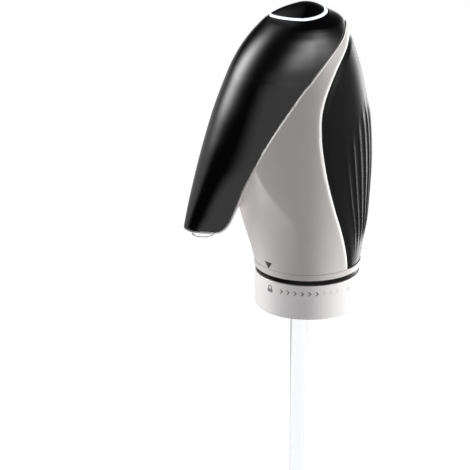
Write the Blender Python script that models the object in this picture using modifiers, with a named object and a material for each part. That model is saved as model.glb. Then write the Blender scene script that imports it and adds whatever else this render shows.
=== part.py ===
# Electric wine aerator: a battery pump in a bird-shaped casing that clamps on a bottle.
# Metres, +Z up. The origin is the middle of the seat that meets the lip of the bottle,
# the beak points along -X, and the casing is the same on both sides of the plane Y = 0.
import math

import bmesh
import bpy
import numpy as np
from mathutils import Matrix, Vector

PART_NAME = "electric_wine_aerator"

# Fits and fineness
GAP = 0.0003
OVERRUN = 0.001
MERGE_DISTANCE = 0.00001
TURN_STEPS = 40
COLLAR_STEPS = 48
SMALL_TURN_STEPS = 20
SHARP_ANGLE = math.radians(35)

# Casing, seen from the side and from above
CROWN_HEIGHT = 0.1276
BEAK_REACH = 0.0566
BACK_REACH = 0.02865
BODY_HALF_WIDTH = 0.0245
BEAK_MOUTH_HEIGHT = 0.0221
BEAK_MOUTH_LENGTH = 0.0141
BEAK_MOUTH_HALF_WIDTH = 0.0083
COVER_WALL = 0.0015
SHELL_WALL = 0.0018
PANEL_WALL = 0.0016
PANEL_RECESS = 0.0004
RIB_HEIGHT = 0.0006
LID_EDGE = 0.0007
HOOD_EDGE_LIMIT = 0.3

# Dome of the head and what is let into it
DOME_RADIUS = 0.0247
DOME_OFFSET = -0.0015
HEAD_TILT = math.radians(7.9)
LIGHT_RING_RADIUS = 0.0131
LIGHT_RING_WIDTH = 0.0014
LIGHT_RING_DEPTH = 0.0033
BUTTON_WALL = 0.0014
BUTTON_SKIRT = 0.0014
BUTTON_FLANGE_WIDTH = 0.001
BUTTON_FLANGE_HEIGHT = 0.001
BUTTON_STEM_RADIUS = 0.002
BUTTON_TRAVEL = 0.0006
FRAME_RADIUS = 0.0141
FRAME_WALL = 0.0013
FRAME_FLOOR = 0.0012
BOARD_THICKNESS = 0.0012
SWITCH_SIDE = 0.006
SWITCH_HEIGHT = 0.0026
PLUNGER_RADIUS = 0.0016
PLUNGER_LENGTH = 0.002

# Foot of the casing and the collar that clamps the bottle
LIP_SEAT_INNER_RADIUS = 0.0086
GASKET_RADIUS = 0.0149
GASKET_THICKNESS = 0.0015
NECK_RADIUS = 0.0152
SLEEVE_WALL = 0.0028
SLEEVE_LENGTH = 0.010
SKIRT_WALL = 0.0014
COLLAR_RADIUS = 0.024
COLLAR_HEIGHT = 0.0169
COLLAR_DROP = 0.015
COLLAR_FILLET = 0.0015
COLLAR_TOP_FILLET = 0.0004
BAND_HEIGHT = 0.0023
BAND_RECESS = 0.0007
BASE_RING_RADIUS = 0.0238
BASE_RING_HEIGHT = 0.0026
BASE_RING_WIDTH = 0.0028
RETAINER_HEIGHT = 0.001
RETAINER_WIDTH = 0.002
CLAMP_RING_HEIGHT = 0.003
PIN_COUNT = 3
PIN_RADIUS = 0.001
COLLAR_TURN = math.radians(90)
CLAMP_TRAVEL = 0.0018

# Ports and tubes
TUBE_OFFSET = -0.0035
TUBE_RADIUS = 0.004
TUBE_BORE = 0.0029
TUBE_REACH = 0.150
TUBE_SOCKET = 0.0061
INNER_TUBE_RADIUS = 0.0025
INNER_TUBE_BORE = 0.0016
INNER_TUBE_LENGTH = 0.135
TUBE_OVERLAP = 0.015
TUBE_FOOT_LENGTH = 0.007
TUBE_FOOT_WALL = 0.0008
TUBE_SEAL_LENGTH = 0.004
PORT_RADIUS = 0.009
PORT_HEIGHT = 0.0131
PORT_BARB_HEIGHT = 0.0072
PORT_BARB_LENGTH = 0.0022
VENT_OFFSET = 0.0056
VENT_RADIUS = 0.002
VENT_BORE = 0.0011
VENT_REACH = 0.005
O_RING_WIDTH = 0.0011
O_RING_HEIGHT = 0.0018

# Nozzle under the tip of the beak
NOZZLE_SETBACK = 0.0089
NOZZLE_RADIUS = 0.0053
NOZZLE_WALL = 0.0017
NOZZLE_STANDOUT = 0.0037
NOZZLE_FLANGE_WIDTH = 0.00025
NOZZLE_FLANGE_HEIGHT = 0.001
NOZZLE_SEAL_HEIGHT = 0.0008
NOZZLE_SEAL_WIDTH = 0.0012
CHAMBER_RADIUS = 0.0042
CHAMBER_WALL = 0.0012
CHAMBER_HEIGHT = 0.0115
CHAMBER_CAP = 0.002
BARB_RADIUS = 0.0022
BARB_BORE = 0.0012
BARB_LENGTH = 0.002
WINE_HOSE_RADIUS = 0.0025
AIR_HOSE_RADIUS = 0.0016

# Upright, pump and battery
UPRIGHT_THICKNESS = 0.002
UPRIGHT_FRONT = 0.0005
UPRIGHT_LEG_INNER = 0.0095
UPRIGHT_LEG_OUTER = 0.0165
UPRIGHT_ARCH_HEIGHT = 0.0243
UPRIGHT_TOP_HALF_WIDTH = 0.008
UPRIGHT_CHAMFER = 0.03
MOTOR_OFFSET = -0.012
MOTOR_RADIUS = 0.010
MOTOR_BASE_HEIGHT = 0.0255
MOTOR_LENGTH = 0.020
MOTOR_CAP_HEIGHT = 0.0018
MOTOR_BRACKET_WALL = 0.0016
MOTOR_BRACKET_HEIGHT = 0.010
MOTOR_BRACKET_HALF_WIDTH = 0.007
SHAFT_RADIUS = 0.001
SHAFT_LENGTH = 0.0055
ECCENTRIC_RADIUS = 0.003
ECCENTRIC_THROW = 0.001
ECCENTRIC_LIFT = 0.001
ECCENTRIC_HEIGHT = 0.003
PUMP_WALL = 0.003
PUMP_HEAD_HEIGHT = 0.0095
PUMP_ROOF = 0.003
DIAPHRAGM_THICKNESS = 0.001
PUMP_COVER_HEIGHT = 0.004
PUMP_BARB_OFFSET = 0.005
BATTERY_RADIUS = 0.007
BATTERY_LENGTH = 0.050
BATTERY_BASE_HEIGHT = 0.034
BATTERY_NUB_RADIUS = 0.0026
BATTERY_NUB_HEIGHT = 0.001
HOLDER_WALL = 0.0014
CONTACT_THICKNESS = 0.0006
CONTACT_WIDTH = 0.008
MAIN_BOARD_HALF_WIDTH = 0.0082
MAIN_BOARD_LENGTH = 0.048
CHARGE_BOARD_LENGTH = 0.0108
CHARGE_BOARD_HALF_WIDTH = 0.007
CHARGE_POST_HEIGHT = 0.004
CHARGE_POST_HALF_WIDTH = 0.005
CHARGE_POST_DEPTH = 0.007
CHARGE_BOARD_FRONT = 0.0105
SOCKET_WIDTH = 0.009
SOCKET_HEIGHT = 0.0033
SOCKET_DEPTH = 0.0074
SOCKET_INSET = 0.0009
SOCKET_WALL = 0.0005
SCREW_HEAD_RADIUS = 0.0014
SCREW_HEAD_HEIGHT = 0.0009
SCREW_RADIUS = 0.0008
SCREW_LENGTH = 0.004

# Heights and radii that follow from the sizes above
COLLAR_BOTTOM = -COLLAR_DROP
COLLAR_TOP = COLLAR_BOTTOM + COLLAR_HEIGHT
BASE_BOTTOM = COLLAR_TOP + BAND_HEIGHT
BASE_TOP = BASE_BOTTOM + BASE_RING_HEIGHT
SHELL_BOTTOM = BASE_TOP + GAP
FLOOR_UNDERSIDE = GASKET_THICKNESS + GAP
SLEEVE_RADIUS = NECK_RADIUS + SLEEVE_WALL
SKIRT_INNER_RADIUS = SLEEVE_RADIUS + GAP
SKIRT_RADIUS = SKIRT_INNER_RADIUS + SKIRT_WALL
COLLAR_BORE = SKIRT_RADIUS + GAP
SLEEVE_BOTTOM = GASKET_THICKNESS - SLEEVE_LENGTH
CLAMP_RING_TOP = SLEEVE_BOTTOM - GAP
PIN_HEIGHT = CLAMP_RING_TOP - CLAMP_RING_HEIGHT / 2
RETAINER_BOTTOM = COLLAR_BOTTOM + GAP
RETAINER_TOP = RETAINER_BOTTOM + RETAINER_HEIGHT
SKIRT_BOTTOM = RETAINER_TOP + GAP
SHOULDER_HEIGHT = RETAINER_TOP + GAP
RETAINER_RADIUS = SKIRT_RADIUS + RETAINER_WIDTH
DOME_CENTRE_HEIGHT = CROWN_HEIGHT - DOME_RADIUS
CASING_HEIGHT = CROWN_HEIGHT - SHELL_BOTTOM

# Outlines of the casing. Each row pairs a share of the casing's height with a share of a reach.
RIDGE_SHARES = np.array((
    (0.124, 1.000), (0.212, 0.965), (0.309, 0.920), (0.404, 0.872), (0.499, 0.818), (0.593, 0.759),
    (0.687, 0.688), (0.781, 0.606), (0.837, 0.539), (0.887, 0.461), (0.920, 0.398), (0.933, 0.371)))
EGG_FRONT_SHARES = np.array((
    (0.000, 0.431), (0.055, 0.460), (0.132, 0.512), (0.217, 0.565), (0.252, 0.599), (0.290, 0.636),
    (0.339, 0.687), (0.408, 0.737), (0.480, 0.770), (0.539, 0.779), (0.593, 0.759), (0.687, 0.688),
    (0.781, 0.606), (0.837, 0.539), (0.887, 0.461), (0.920, 0.398), (0.933, 0.371)))
EGG_BACK_SHARES = np.array((
    (0.000, 0.852), (0.066, 0.895), (0.157, 0.941), (0.256, 0.974), (0.402, 1.000), (0.495, 0.990),
    (0.588, 0.956), (0.677, 0.894), (0.761, 0.817), (0.830, 0.729), (0.879, 0.656), (0.919, 0.579),
    (0.933, 0.541)))
EGG_WIDTH_SHARES = np.array((
    (0.000, 0.978), (0.107, 0.992), (0.273, 1.000), (0.439, 1.000), (0.563, 0.984), (0.646, 0.963),
    (0.746, 0.931), (0.812, 0.894), (0.871, 0.837), (0.904, 0.788), (0.920, 0.751), (0.933, 0.718)))
THROAT_SHARES = np.array((
    (0.000, 0.431), (0.055, 0.460), (0.132, 0.512), (0.217, 0.565), (0.252, 0.583), (0.290, 0.590),
    (0.339, 0.588), (0.408, 0.583)))
CREASE_SHARES = np.array((
    (0.000, 0.053), (0.132, 0.088), (0.217, 0.145), (0.244, 0.189), (0.281, 0.265), (0.331, 0.346),
    (0.373, 0.401), (0.408, 0.442)))

# Edges that lie on the casing. Each row pairs a share of its height with a share of half a turn
# from the front: the rim of the hood from the nape down to the cheek, and the edge of the panel.
RIM_SHARES = np.array((
    (0.928, 1.000), (0.919, 0.873), (0.903, 0.809), (0.870, 0.699), (0.830, 0.613), (0.789, 0.548),
    (0.746, 0.496), (0.655, 0.434), (0.560, 0.384), (0.461, 0.329), (0.408, 0.296)))
PANEL_SHARES = np.array((
    (0.885, 1.000), (0.879, 0.907), (0.846, 0.803), (0.800, 0.705), (0.720, 0.618), (0.633, 0.572),
    (0.542, 0.565), (0.449, 0.578), (0.353, 0.604), (0.256, 0.643), (0.157, 0.695), (0.048, 0.752),
    (0.000, 0.773)))

# Lower edge of the beak from the cheek to the mouth: height share, reach share, half-width share
BEAK_EDGE_SHARES = np.array((
    (0.356, 0.488, 0.710), (0.306, 0.532, 0.620), (0.253, 0.572, 0.535), (0.202, 0.611, 0.461),
    (0.165, 0.642, 0.402), (0.145, 0.669, 0.375), (0.131, 0.705, 0.355)))
BEAK_STRAIGHT_SHARE = 0.26
LID_CROWN_SHARE = 0.12
RIB_SPACING_SHARE = 0.12
RIB_HALF_WIDTH_SHARE = 0.03
RIBS_EACH_SIDE = 5
RIB_BOTTOM_SHARE = 0.065
RIB_TOP_SHARE = 0.63
RIB_TOP_FALL_SHARE = 0.14
RIB_FADE_SHARE = 0.05


# Hoses inside the casing: shares of the beak's reach, of the half-width, and of the casing's height
# or, for the air hose, of the height of the pump's outlet
WINE_HOSE_SHARES = (
    (-0.06, 0.68, 0.075), (-0.08, 0.70, 0.115), (-0.12, 0.68, 0.200), (-0.16, 0.66, 0.339),
    (-0.19, 0.61, 0.489), (-0.28, 0.45, 0.622), (-0.42, 0.20, 0.688), (-0.57, 0.05, 0.663),
    (-0.67, 0.00, 0.572), (-0.74, 0.00, 0.472), (-0.80, 0.00, 0.373))
AIR_HOSE_SHARES = (
    (-0.08, -0.64, 0.266), (-0.11, -0.66, 0.366), (-0.15, -0.64, 0.603), (-0.18, -0.61, 0.858),
    (-0.19, -0.53, 1.080), (-0.21, -0.37, 1.178), (-0.21, -0.25, 1.167))


# Scene and finishes

def clear_scene():
    for existing in list(bpy.data.objects):
        bpy.data.objects.remove(existing, do_unlink=True)


def new_collection(name):
    collection = bpy.data.collections.new(name)
    bpy.context.scene.collection.children.link(collection)
    return collection


def finish(name, colour, roughness, metallic=0.0, alpha=1.0):
    material = bpy.data.materials.get(name)
    if material is None:
        material = bpy.data.materials.new(name)
        material.use_nodes = True
        shader = material.node_tree.nodes["Principled BSDF"]
        shader.inputs["Base Color"].default_value = (*colour, 1.0)
        shader.inputs["Roughness"].default_value = roughness
        shader.inputs["Metallic"].default_value = metallic
        shader.inputs["Alpha"].default_value = alpha
    return material


def gloss_black():
    return finish("gloss_black_plastic", (0.012, 0.012, 0.014), 0.12)


def satin_black():
    return finish("satin_black_plastic", (0.020, 0.020, 0.022), 0.35)


def pearl():
    return finish("pearl_plastic", (0.80, 0.77, 0.76), 0.28)


def pale_plastic():
    return finish("pale_plastic", (0.84, 0.83, 0.82), 0.35)


def lit_plastic():
    return finish("lit_plastic", (0.82, 0.86, 1.0), 0.3)


def clear_plastic():
    return finish("clear_plastic", (0.90, 0.93, 0.94), 0.08, alpha=0.4)


def dark_rubber():
    return finish("dark_rubber", (0.02, 0.02, 0.02), 0.7)


def pale_silicone():
    return finish("pale_silicone", (0.75, 0.76, 0.76), 0.6)


def grey_plastic():
    return finish("grey_plastic", (0.22, 0.23, 0.24), 0.5)


def steel():
    return finish("steel", (0.60, 0.60, 0.62), 0.25, metallic=1.0)


def board_green():
    return finish("board_green", (0.02, 0.16, 0.07), 0.45)


def battery_wrap():
    return finish("battery_wrap", (0.05, 0.16, 0.42), 0.4)


# Building blocks

def add_object(name, mesh, material, place=None, parent=None):
    piece = bpy.data.objects.new(name, mesh)
    PIECES.objects.link(piece)
    piece.data.materials.append(material)
    if parent is not None:
        piece.parent = parent
    if place is not None:
        piece.location = place
    return piece


def shade(mesh):
    mesh.shade_smooth()
    mesh.set_sharp_from_angle(angle=SHARP_ANGLE)


def mesh_from(name, points, faces=(), edges=()):
    mesh = bpy.data.meshes.new(name)
    mesh.from_pydata([tuple(point) for point in points], list(edges), [tuple(face) for face in faces])
    mesh.update()
    return mesh


# A closed profile of radius and height pairs, turned about Z. It runs down its outer side.
# A profile that starts and ends on the axis stays open there.
def turned(name, profile, material, place=None, parent=None, steps=TURN_STEPS):
    points = [(radius, 0.0, height) for radius, height in profile]
    edges = [(number, number + 1) for number in range(len(points) - 1)]
    if profile[0][0] > 0.0:
        edges.append((len(points) - 1, 0))
    piece = add_object(name, mesh_from(name, points, edges=edges), material, place, parent)
    screw = piece.modifiers.new("turn", "SCREW")
    screw.axis = "Z"
    screw.angle = math.tau
    screw.steps = steps
    screw.render_steps = steps
    screw.use_merge_vertices = True
    screw.merge_threshold = MERGE_DISTANCE
    screw.use_smooth_shade = True
    return piece


def ring(name, outer, inner, bottom, top, material, place=None, parent=None, steps=TURN_STEPS):
    profile = [(outer, top), (outer, bottom), (inner, bottom), (inner, top)]
    return turned(name, profile, material, place, parent, steps)


def rod(name, radius, bottom, top, material, place=None, parent=None, steps=SMALL_TURN_STEPS):
    profile = [(0.0, top), (radius, top), (radius, bottom), (0.0, bottom)]
    return turned(name, profile, material, place, parent, steps)


def box_mesh(name, low, high):
    shape = bmesh.new()
    size = Vector(high) - Vector(low)
    middle = (Vector(high) + Vector(low)) / 2
    bmesh.ops.create_cube(shape, size=1.0, matrix=Matrix.Translation(middle) @ Matrix.Diagonal((*size, 1.0)))
    mesh = bpy.data.meshes.new(name)
    shape.to_mesh(mesh)
    shape.free()
    return mesh


def box(name, low, high, material, parent=None):
    return add_object(name, box_mesh(name, low, high), material, parent=parent)


def round_edges(piece, width, segments=2):
    bevel = piece.modifiers.new("round_edges", "BEVEL")
    bevel.width = width
    bevel.segments = segments
    bevel.limit_method = "ANGLE"


def as_cutter(piece):
    PIECES.objects.unlink(piece)
    CUTTERS.objects.link(piece)
    piece.hide_render = True
    piece.display_type = "WIRE"
    return piece


def combine(piece, tool, operation):
    change = piece.modifiers.new(operation.lower(), "BOOLEAN")
    change.operation = operation
    change.object = as_cutter(tool)
    change.solver = "EXACT"


def cut(piece, tool):
    combine(piece, tool, "DIFFERENCE")


def fuse(piece, tool):
    combine(piece, tool, "UNION")


def lying(piece, axis):
    piece.rotation_mode = "QUATERNION"
    piece.rotation_quaternion = Vector((0.0, 0.0, 1.0)).rotation_difference(Vector(axis))
    return piece


# A hose along a smooth curve through the points of its route. Its first and last stretch
# stay straight, so that its ends lie square on what they meet.
def hose(name, route, radius, material, spacing):
    route = np.array(route)
    bends = route[1:-1]
    steps = np.linalg.norm(np.diff(bends, axis=0), axis=1)
    stations = np.concatenate(([0.0], np.cumsum(steps)))
    count = int(stations[-1] / spacing) + 1
    curve_part = smooth(stations, bends)(np.linspace(0.0, stations[-1], count))
    path = np.concatenate((route[:1], curve_part, route[-1:]))
    curve = bpy.data.curves.new(name, "CURVE")
    curve.dimensions = "3D"
    curve.bevel_depth = radius
    curve.bevel_resolution = 2
    curve.use_fill_caps = True
    line = curve.splines.new("POLY")
    line.points.add(len(path) - 1)
    for point, place in zip(line.points, path):
        point.co = (*place, 1.0)
    return add_object(name, curve, material)


def flat_plate(name, outline, thickness, material):
    curve = bpy.data.curves.new(name, "CURVE")
    curve.dimensions = "2D"
    curve.fill_mode = "BOTH"
    curve.extrude = thickness / 2
    line = curve.splines.new("POLY")
    line.points.add(len(outline) - 1)
    for point, (across, along) in zip(line.points, outline):
        point.co = (across, along, 0.0, 1.0)
    line.use_cyclic_u = True
    return add_object(name, curve, material)


# Curves of the casing

# Cubic pieces through the values, with the slope at each station from its neighbours
def smooth(stations, values):
    stations = np.asarray(stations, float)
    values = np.asarray(values, float)
    slopes = np.gradient(values, stations, axis=0)

    def read(at):
        at = np.clip(np.asarray(at, float), stations[0], stations[-1])
        left = np.clip(np.searchsorted(stations, at, side="right") - 1, 0, len(stations) - 2)
        span = stations[left + 1] - stations[left]
        part = (at - stations[left]) / span
        if values.ndim > 1:
            span = span[..., None]
            part = part[..., None]
        start = values[left] * (1 + 2 * part) * (1 - part) ** 2
        end = values[left + 1] * part ** 2 * (3 - 2 * part)
        bend = span * part * (1 - part) * (slopes[left] * (1 - part) - slopes[left + 1] * part)
        return start + end + bend

    return read


def level(share):
    return SHELL_BOTTOM + share * CASING_HEIGHT


def outline(table, reach):
    return smooth(level(table[:, 0]), table[:, 1] * reach)


ridge_reach = outline(RIDGE_SHARES, BEAK_REACH)
egg_front = outline(EGG_FRONT_SHARES, BEAK_REACH)
egg_back = outline(EGG_BACK_SHARES, BACK_REACH)
egg_width = outline(EGG_WIDTH_SHARES, BODY_HALF_WIDTH)
throat_reach = outline(THROAT_SHARES, BEAK_REACH)
crease_reach = outline(CREASE_SHARES, BEAK_REACH)


# Casing at a turn from the front and a height: half an ellipse in front, another behind
def egg(turn, height):
    reach = np.where(turn <= math.pi / 2, egg_front(height), egg_back(height))
    return np.stack((-reach * np.cos(turn), -egg_width(height) * np.sin(turn), height + 0.0 * turn), -1)


# Half-width of the throat's ellipse: it meets the casing along the crease
def throat_width(height):
    crease = crease_reach(height)
    side = egg_width(height) * np.sqrt(1 - (crease / egg_front(height)) ** 2)
    return side / np.sqrt(1 - (crease / throat_reach(height)) ** 2)


def throat(turn, height):
    return np.stack((-throat_reach(height) * np.cos(turn), -throat_width(height) * np.sin(turn),
                     height + 0.0 * turn), -1)


def unit(vectors):
    return vectors / np.linalg.norm(vectors, axis=-1, keepdims=True)


# Slopes of a surface along its two parameters, from two nearby points each way
def slopes_of(surface, turn, height):
    small_turn = 0.001
    small_height = CASING_HEIGHT / 5000
    along = (surface(turn + small_turn, height) - surface(turn - small_turn, height)) / (2 * small_turn)
    up = (surface(turn, height + small_height) - surface(turn, height - small_height)) / (2 * small_height)
    return along, up


def normals_of(surface, turn, height):
    along, up = slopes_of(surface, turn, height)
    normals = np.cross(along, up)
    normals[..., 1] = np.where(np.abs(np.sin(turn)) < MERGE_DISTANCE, 0.0, normals[..., 1])
    return unit(normals)


# An edge on the casing from its table, as turns and heights at even shares of its length.
# Its mirror image is added at the middle plane, where it crosses at a right angle.
def edge_on_casing(table):
    turns = table[:, 1] * math.pi
    heights = level(table[:, 0])
    turns = np.concatenate(([math.tau - turns[1]], turns))
    heights = np.concatenate(([heights[1]], heights))
    steps = np.hypot(np.diff(turns) * BODY_HALF_WIDTH, np.diff(heights))
    stations = np.concatenate(([0.0], np.cumsum(steps))) - steps[0]
    read_pair = smooth(stations, np.stack((turns, heights), -1))
    length = stations[-1]
    return lambda share: read_pair(np.asarray(share) * length)


rim_edge = edge_on_casing(RIM_SHARES)
panel_edge = edge_on_casing(PANEL_SHARES)


# Turns and heights of an edge moved over the casing by a distance, away from its left side
def moved_edge(turns, heights, distance):
    points = egg(turns, heights)
    tangents = np.gradient(points, axis=0)
    middle = np.abs(np.sin(turns)) < MERGE_DISTANCE
    tangents[middle] *= (0.0, 1.0, 0.0)
    sides = unit(np.cross(normals_of(egg, turns, heights), unit(tangents))) * distance
    along, up = slopes_of(egg, turns, heights)
    crossed = np.sum(along * up, -1)
    length_a = np.sum(along * along, -1)
    length_u = np.sum(up * up, -1)
    part_a = np.sum(along * sides, -1)
    part_u = np.sum(up * sides, -1)
    bottom = length_a * length_u - crossed ** 2
    turn_change = (part_a * length_u - part_u * crossed) / bottom
    height_change = (part_u * length_a - part_a * crossed) / bottom
    return turns + np.where(middle, 0.0, turn_change), heights + height_change


# Lower edge of the beak, from the cheek to where the mouth begins: reach, height and half-width
def beak_edge_points():
    cheek_turn, cheek_height = rim_edge(1.0)
    cheek = egg(cheek_turn, cheek_height)
    rows = [(-cheek[0], cheek[2], -cheek[1])]
    for height_share, reach_share, width_share in BEAK_EDGE_SHARES:
        rows.append((reach_share * BEAK_REACH, level(height_share), width_share * BODY_HALF_WIDTH))
    rows.append((BEAK_REACH - BEAK_MOUTH_LENGTH, BEAK_MOUTH_HEIGHT, BEAK_MOUTH_HALF_WIDTH))
    return np.array(rows)


def beak_edge(shares):
    rows = beak_edge_points()
    steps = np.hypot(np.diff(rows[:, 0]), np.diff(rows[:, 1]))
    stations = np.concatenate(([0.0], np.cumsum(steps)))
    return smooth(stations, rows)(np.asarray(shares) * stations[-1])


# Closed bodies from grids of points

# Joins patches of outer and inner points into one body that is open at the middle plane,
# and mirrors it. Points that coincide become one, and so do the inner points behind them.
def mirrored_body(name, patches, material):
    numbers = {}
    outer_points = []
    inner_sums = []
    inner_counts = []
    faces = []
    for outer, inner in patches:
        rows, columns = outer.shape[:2]
        index = np.zeros((rows, columns), int)
        for row in range(rows):
            for column in range(columns):
                key = tuple(np.round(outer[row, column] / MERGE_DISTANCE).astype(int))
                if key not in numbers:
                    numbers[key] = len(outer_points)
                    outer_points.append(outer[row, column])
                    inner_sums.append(np.zeros(3))
                    inner_counts.append(0)
                index[row, column] = numbers[key]
                inner_sums[numbers[key]] += inner[row, column]
                inner_counts[numbers[key]] += 1
        for row in range(rows - 1):
            for column in range(columns - 1):
                corners = (index[row, column], index[row, column + 1],
                           index[row + 1, column + 1], index[row + 1, column])
                face = list(dict.fromkeys(corners))
                if len(face) > 2:
                    faces.append(face)
    count = len(outer_points)
    inner_points = [total / number for total, number in zip(inner_sums, inner_counts)]
    points = np.array(outer_points + inner_points)
    used = {}
    for face in faces:
        for start, end in zip(face, face[1:] + face[:1]):
            used[(start, end)] = True
    walls = []
    for start, end in used:
        wall = (end, start, start + count, end + count)
        if (end, start) not in used and np.abs(points[list(wall), 1]).max() > MERGE_DISTANCE:
            walls.append(wall)
    backs = [[corner + count for corner in reversed(face)] for face in faces]
    piece = add_object(name, mesh_from(name, points, faces + walls + backs), material)
    tidy_normals(piece.data)
    mirror = piece.modifiers.new("other_side", "MIRROR")
    mirror.use_axis = (False, True, False)
    mirror.use_mirror_merge = True
    mirror.merge_threshold = MERGE_DISTANCE * 5
    shade(piece.data)
    return piece


# Turns every face over if the body is inside out. The open side lies in a plane through
# the origin, so it adds nothing to the volume.
def tidy_normals(mesh):
    shape = bmesh.new()
    shape.from_mesh(mesh)
    bmesh.ops.triangulate(shape, faces=shape.faces[:])
    volume = sum(face.verts[0].co.dot(face.verts[1].co.cross(face.verts[2].co)) for face in shape.faces)
    if volume < 0.0:
        bmesh.ops.reverse_faces(shape, faces=shape.faces[:])
    shape.to_mesh(mesh)
    shape.free()


def eased(start, end, count, ease=1.0):
    return start + (end - start) * np.linspace(0.0, 1.0, count) ** ease


# Black hood: head and beak

HOOD_COLUMNS = 11
CAP_ROWS = 3
BROW_ROWS = 12
BEAK_ROWS = 18
MOUTH_COLUMNS = HOOD_COLUMNS


def head_axis():
    return np.array((-math.sin(HEAD_TILT), 0.0, math.cos(HEAD_TILT)))


def dome_centre():
    return np.array((DOME_OFFSET, 0.0, DOME_CENTRE_HEIGHT))


# Points of a circle round the head's axis that lie on the dome, and the dome's slope there
def circle_on_dome(turns, radius):
    across = np.array((math.cos(HEAD_TILT), 0.0, math.sin(HEAD_TILT)))
    outward = -np.cos(turns)[:, None] * across - np.sin(turns)[:, None] * np.array((0.0, 1.0, 0.0))
    rise = math.sqrt(DOME_RADIUS ** 2 - radius ** 2)
    points = dome_centre() + outward * radius + head_axis() * rise
    falls = (outward * rise - head_axis() * radius) / DOME_RADIUS
    return points, falls


# Rows of the cap, from the hole for the light ring out to the full section above the nape
def cap_rows(nape_height):
    turns = np.linspace(0.0, math.pi, HOOD_COLUMNS)
    heights = np.full(HOOD_COLUMNS, nape_height)
    inside, inside_slopes = circle_on_dome(turns, LIGHT_RING_RADIUS + GAP)
    outside = egg(turns, heights)
    up = slopes_of(egg, turns, heights - CASING_HEIGHT / 1000)[1]
    chord = np.linalg.norm(outside - inside, axis=-1, keepdims=True)
    rows = []
    for part in np.linspace(0.0, 1.0, CAP_ROWS + 1)[:-1]:
        start = inside * (1 + 2 * part) * (1 - part) ** 2
        end = outside * part ** 2 * (3 - 2 * part)
        bend = chord * part * (1 - part) * (inside_slopes * (1 - part) + unit(up) * part)
        row = start + end + bend
        row[[0, -1], 1] = 0.0
        rows.append(row)
    return np.array(rows)


# One row of the hood from the ridge to the rim, along an arc of an ellipse
def hood_row(height, rim_reach, rim_half_width, edge_slope):
    share = np.linspace(0.0, 1.0, HOOD_COLUMNS)
    ridge = float(ridge_reach(height))
    last = math.acos(edge_slope / (1 - edge_slope))
    arc = share * last
    along = (ridge - rim_reach) * (1 - np.cos(arc)) / (1 - math.cos(last))
    side = rim_half_width * np.sin(arc) / math.sin(last)
    return np.stack((along - ridge, -side, np.full(HOOD_COLUMNS, height)), -1)


# How fast the casing widens at the rim, as a share of the row's own proportions
def slope_at_rim(height, rim_reach, rim_half_width):
    ridge = float(ridge_reach(height))
    steepness = float(egg_width(height) ** 2 * rim_reach / (egg_front(height) ** 2 * rim_half_width))
    return min(steepness * (ridge - rim_reach) / rim_half_width, HOOD_EDGE_LIMIT)


def brow_rows(turns, heights):
    rows = []
    for turn, height in zip(turns, heights):
        if turn >= math.pi / 2:
            rows.append(egg(np.linspace(0.0, turn, HOOD_COLUMNS), np.full(HOOD_COLUMNS, height)))
        else:
            rim = egg(turn, height)
            rows.append(hood_row(height, -rim[0], -rim[1], slope_at_rim(height, -rim[0], -rim[1])))
    return np.array(rows)


def beak_rows(edge_rows):
    straight = level(BEAK_STRAIGHT_SHARE)
    cheek = edge_rows[0][1]
    rows = []
    for reach, height, half_width in edge_rows[1:]:
        part = min(max((height - straight) / (cheek - straight), 0.0), 1.0)
        rows.append(hood_row(height, reach, half_width, HOOD_EDGE_LIMIT * part * part * (3 - 2 * part)))
    return np.array(rows)


def rim_stations():
    turns, heights = np.moveaxis(rim_edge(eased(0.0, 1.0, BROW_ROWS, 1.25)), -1, 0)
    turns[0] = math.pi
    return turns, heights


def grid_normals(points):
    normals = unit(np.cross(np.gradient(points, axis=1), -np.gradient(points, axis=0)))
    normals[:, 0, 1] = 0.0
    return unit(normals)


def make_beak_cover():
    turns, heights = rim_stations()
    edge_rows = beak_edge(np.linspace(0.0, 1.0, BEAK_ROWS + 1))
    cap = cap_rows(float(heights[0]) + CASING_HEIGHT / 200)
    brow = brow_rows(turns, heights)
    outer = np.concatenate((cap, brow, beak_rows(edge_rows)))
    outer[:, 0, 1] = 0.0
    outer[:CAP_ROWS + 1, -1, 1] = 0.0
    normals = grid_normals(outer)
    normals[:CAP_ROWS + 1, -1, 1] = 0.0
    normals[0] = head_axis()
    brow_end = CAP_ROWS + BROW_ROWS
    normals[CAP_ROWS:brow_end, -1] = normals_of(egg, turns, heights)
    normals[brow_end - 1:, -1] = (0.0, -1.0, 0.0)
    normals[-1, :, 2] = 0.0
    normals = unit(normals)
    return mirrored_body("beak_cover", [(outer, outer - normals * COVER_WALL)], gloss_black())


# Pale casing: sides, throat and the strip over the nape

SHELL_COLUMNS = 8
THROAT_COLUMNS = 6
FOOT_ROWS = 9
SIDE_ROWS = 12


def panel_stations(share):
    turns, heights = np.moveaxis(panel_edge(share), -1, 0)
    turns = np.where(np.asarray(share) <= 0.0, math.pi, turns)
    return turns, heights


# Turns of the panel's edge at given heights below its widest part
def panel_turn_at(heights):
    turns, sampled = panel_stations(np.linspace(0.0, 1.0, 400))
    return np.interp(heights, sampled[::-1], turns[::-1])


def panel_share_at(height):
    shares = np.linspace(0.0, 1.0, 400)
    sampled = panel_stations(shares)[1]
    return float(np.interp(height, sampled[::-1], shares[::-1]))


def beak_reach_at(heights):
    rows = beak_edge(np.linspace(0.0, 1.0, 400))
    return np.interp(heights, rows[::-1, 1], rows[::-1, 0])


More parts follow.
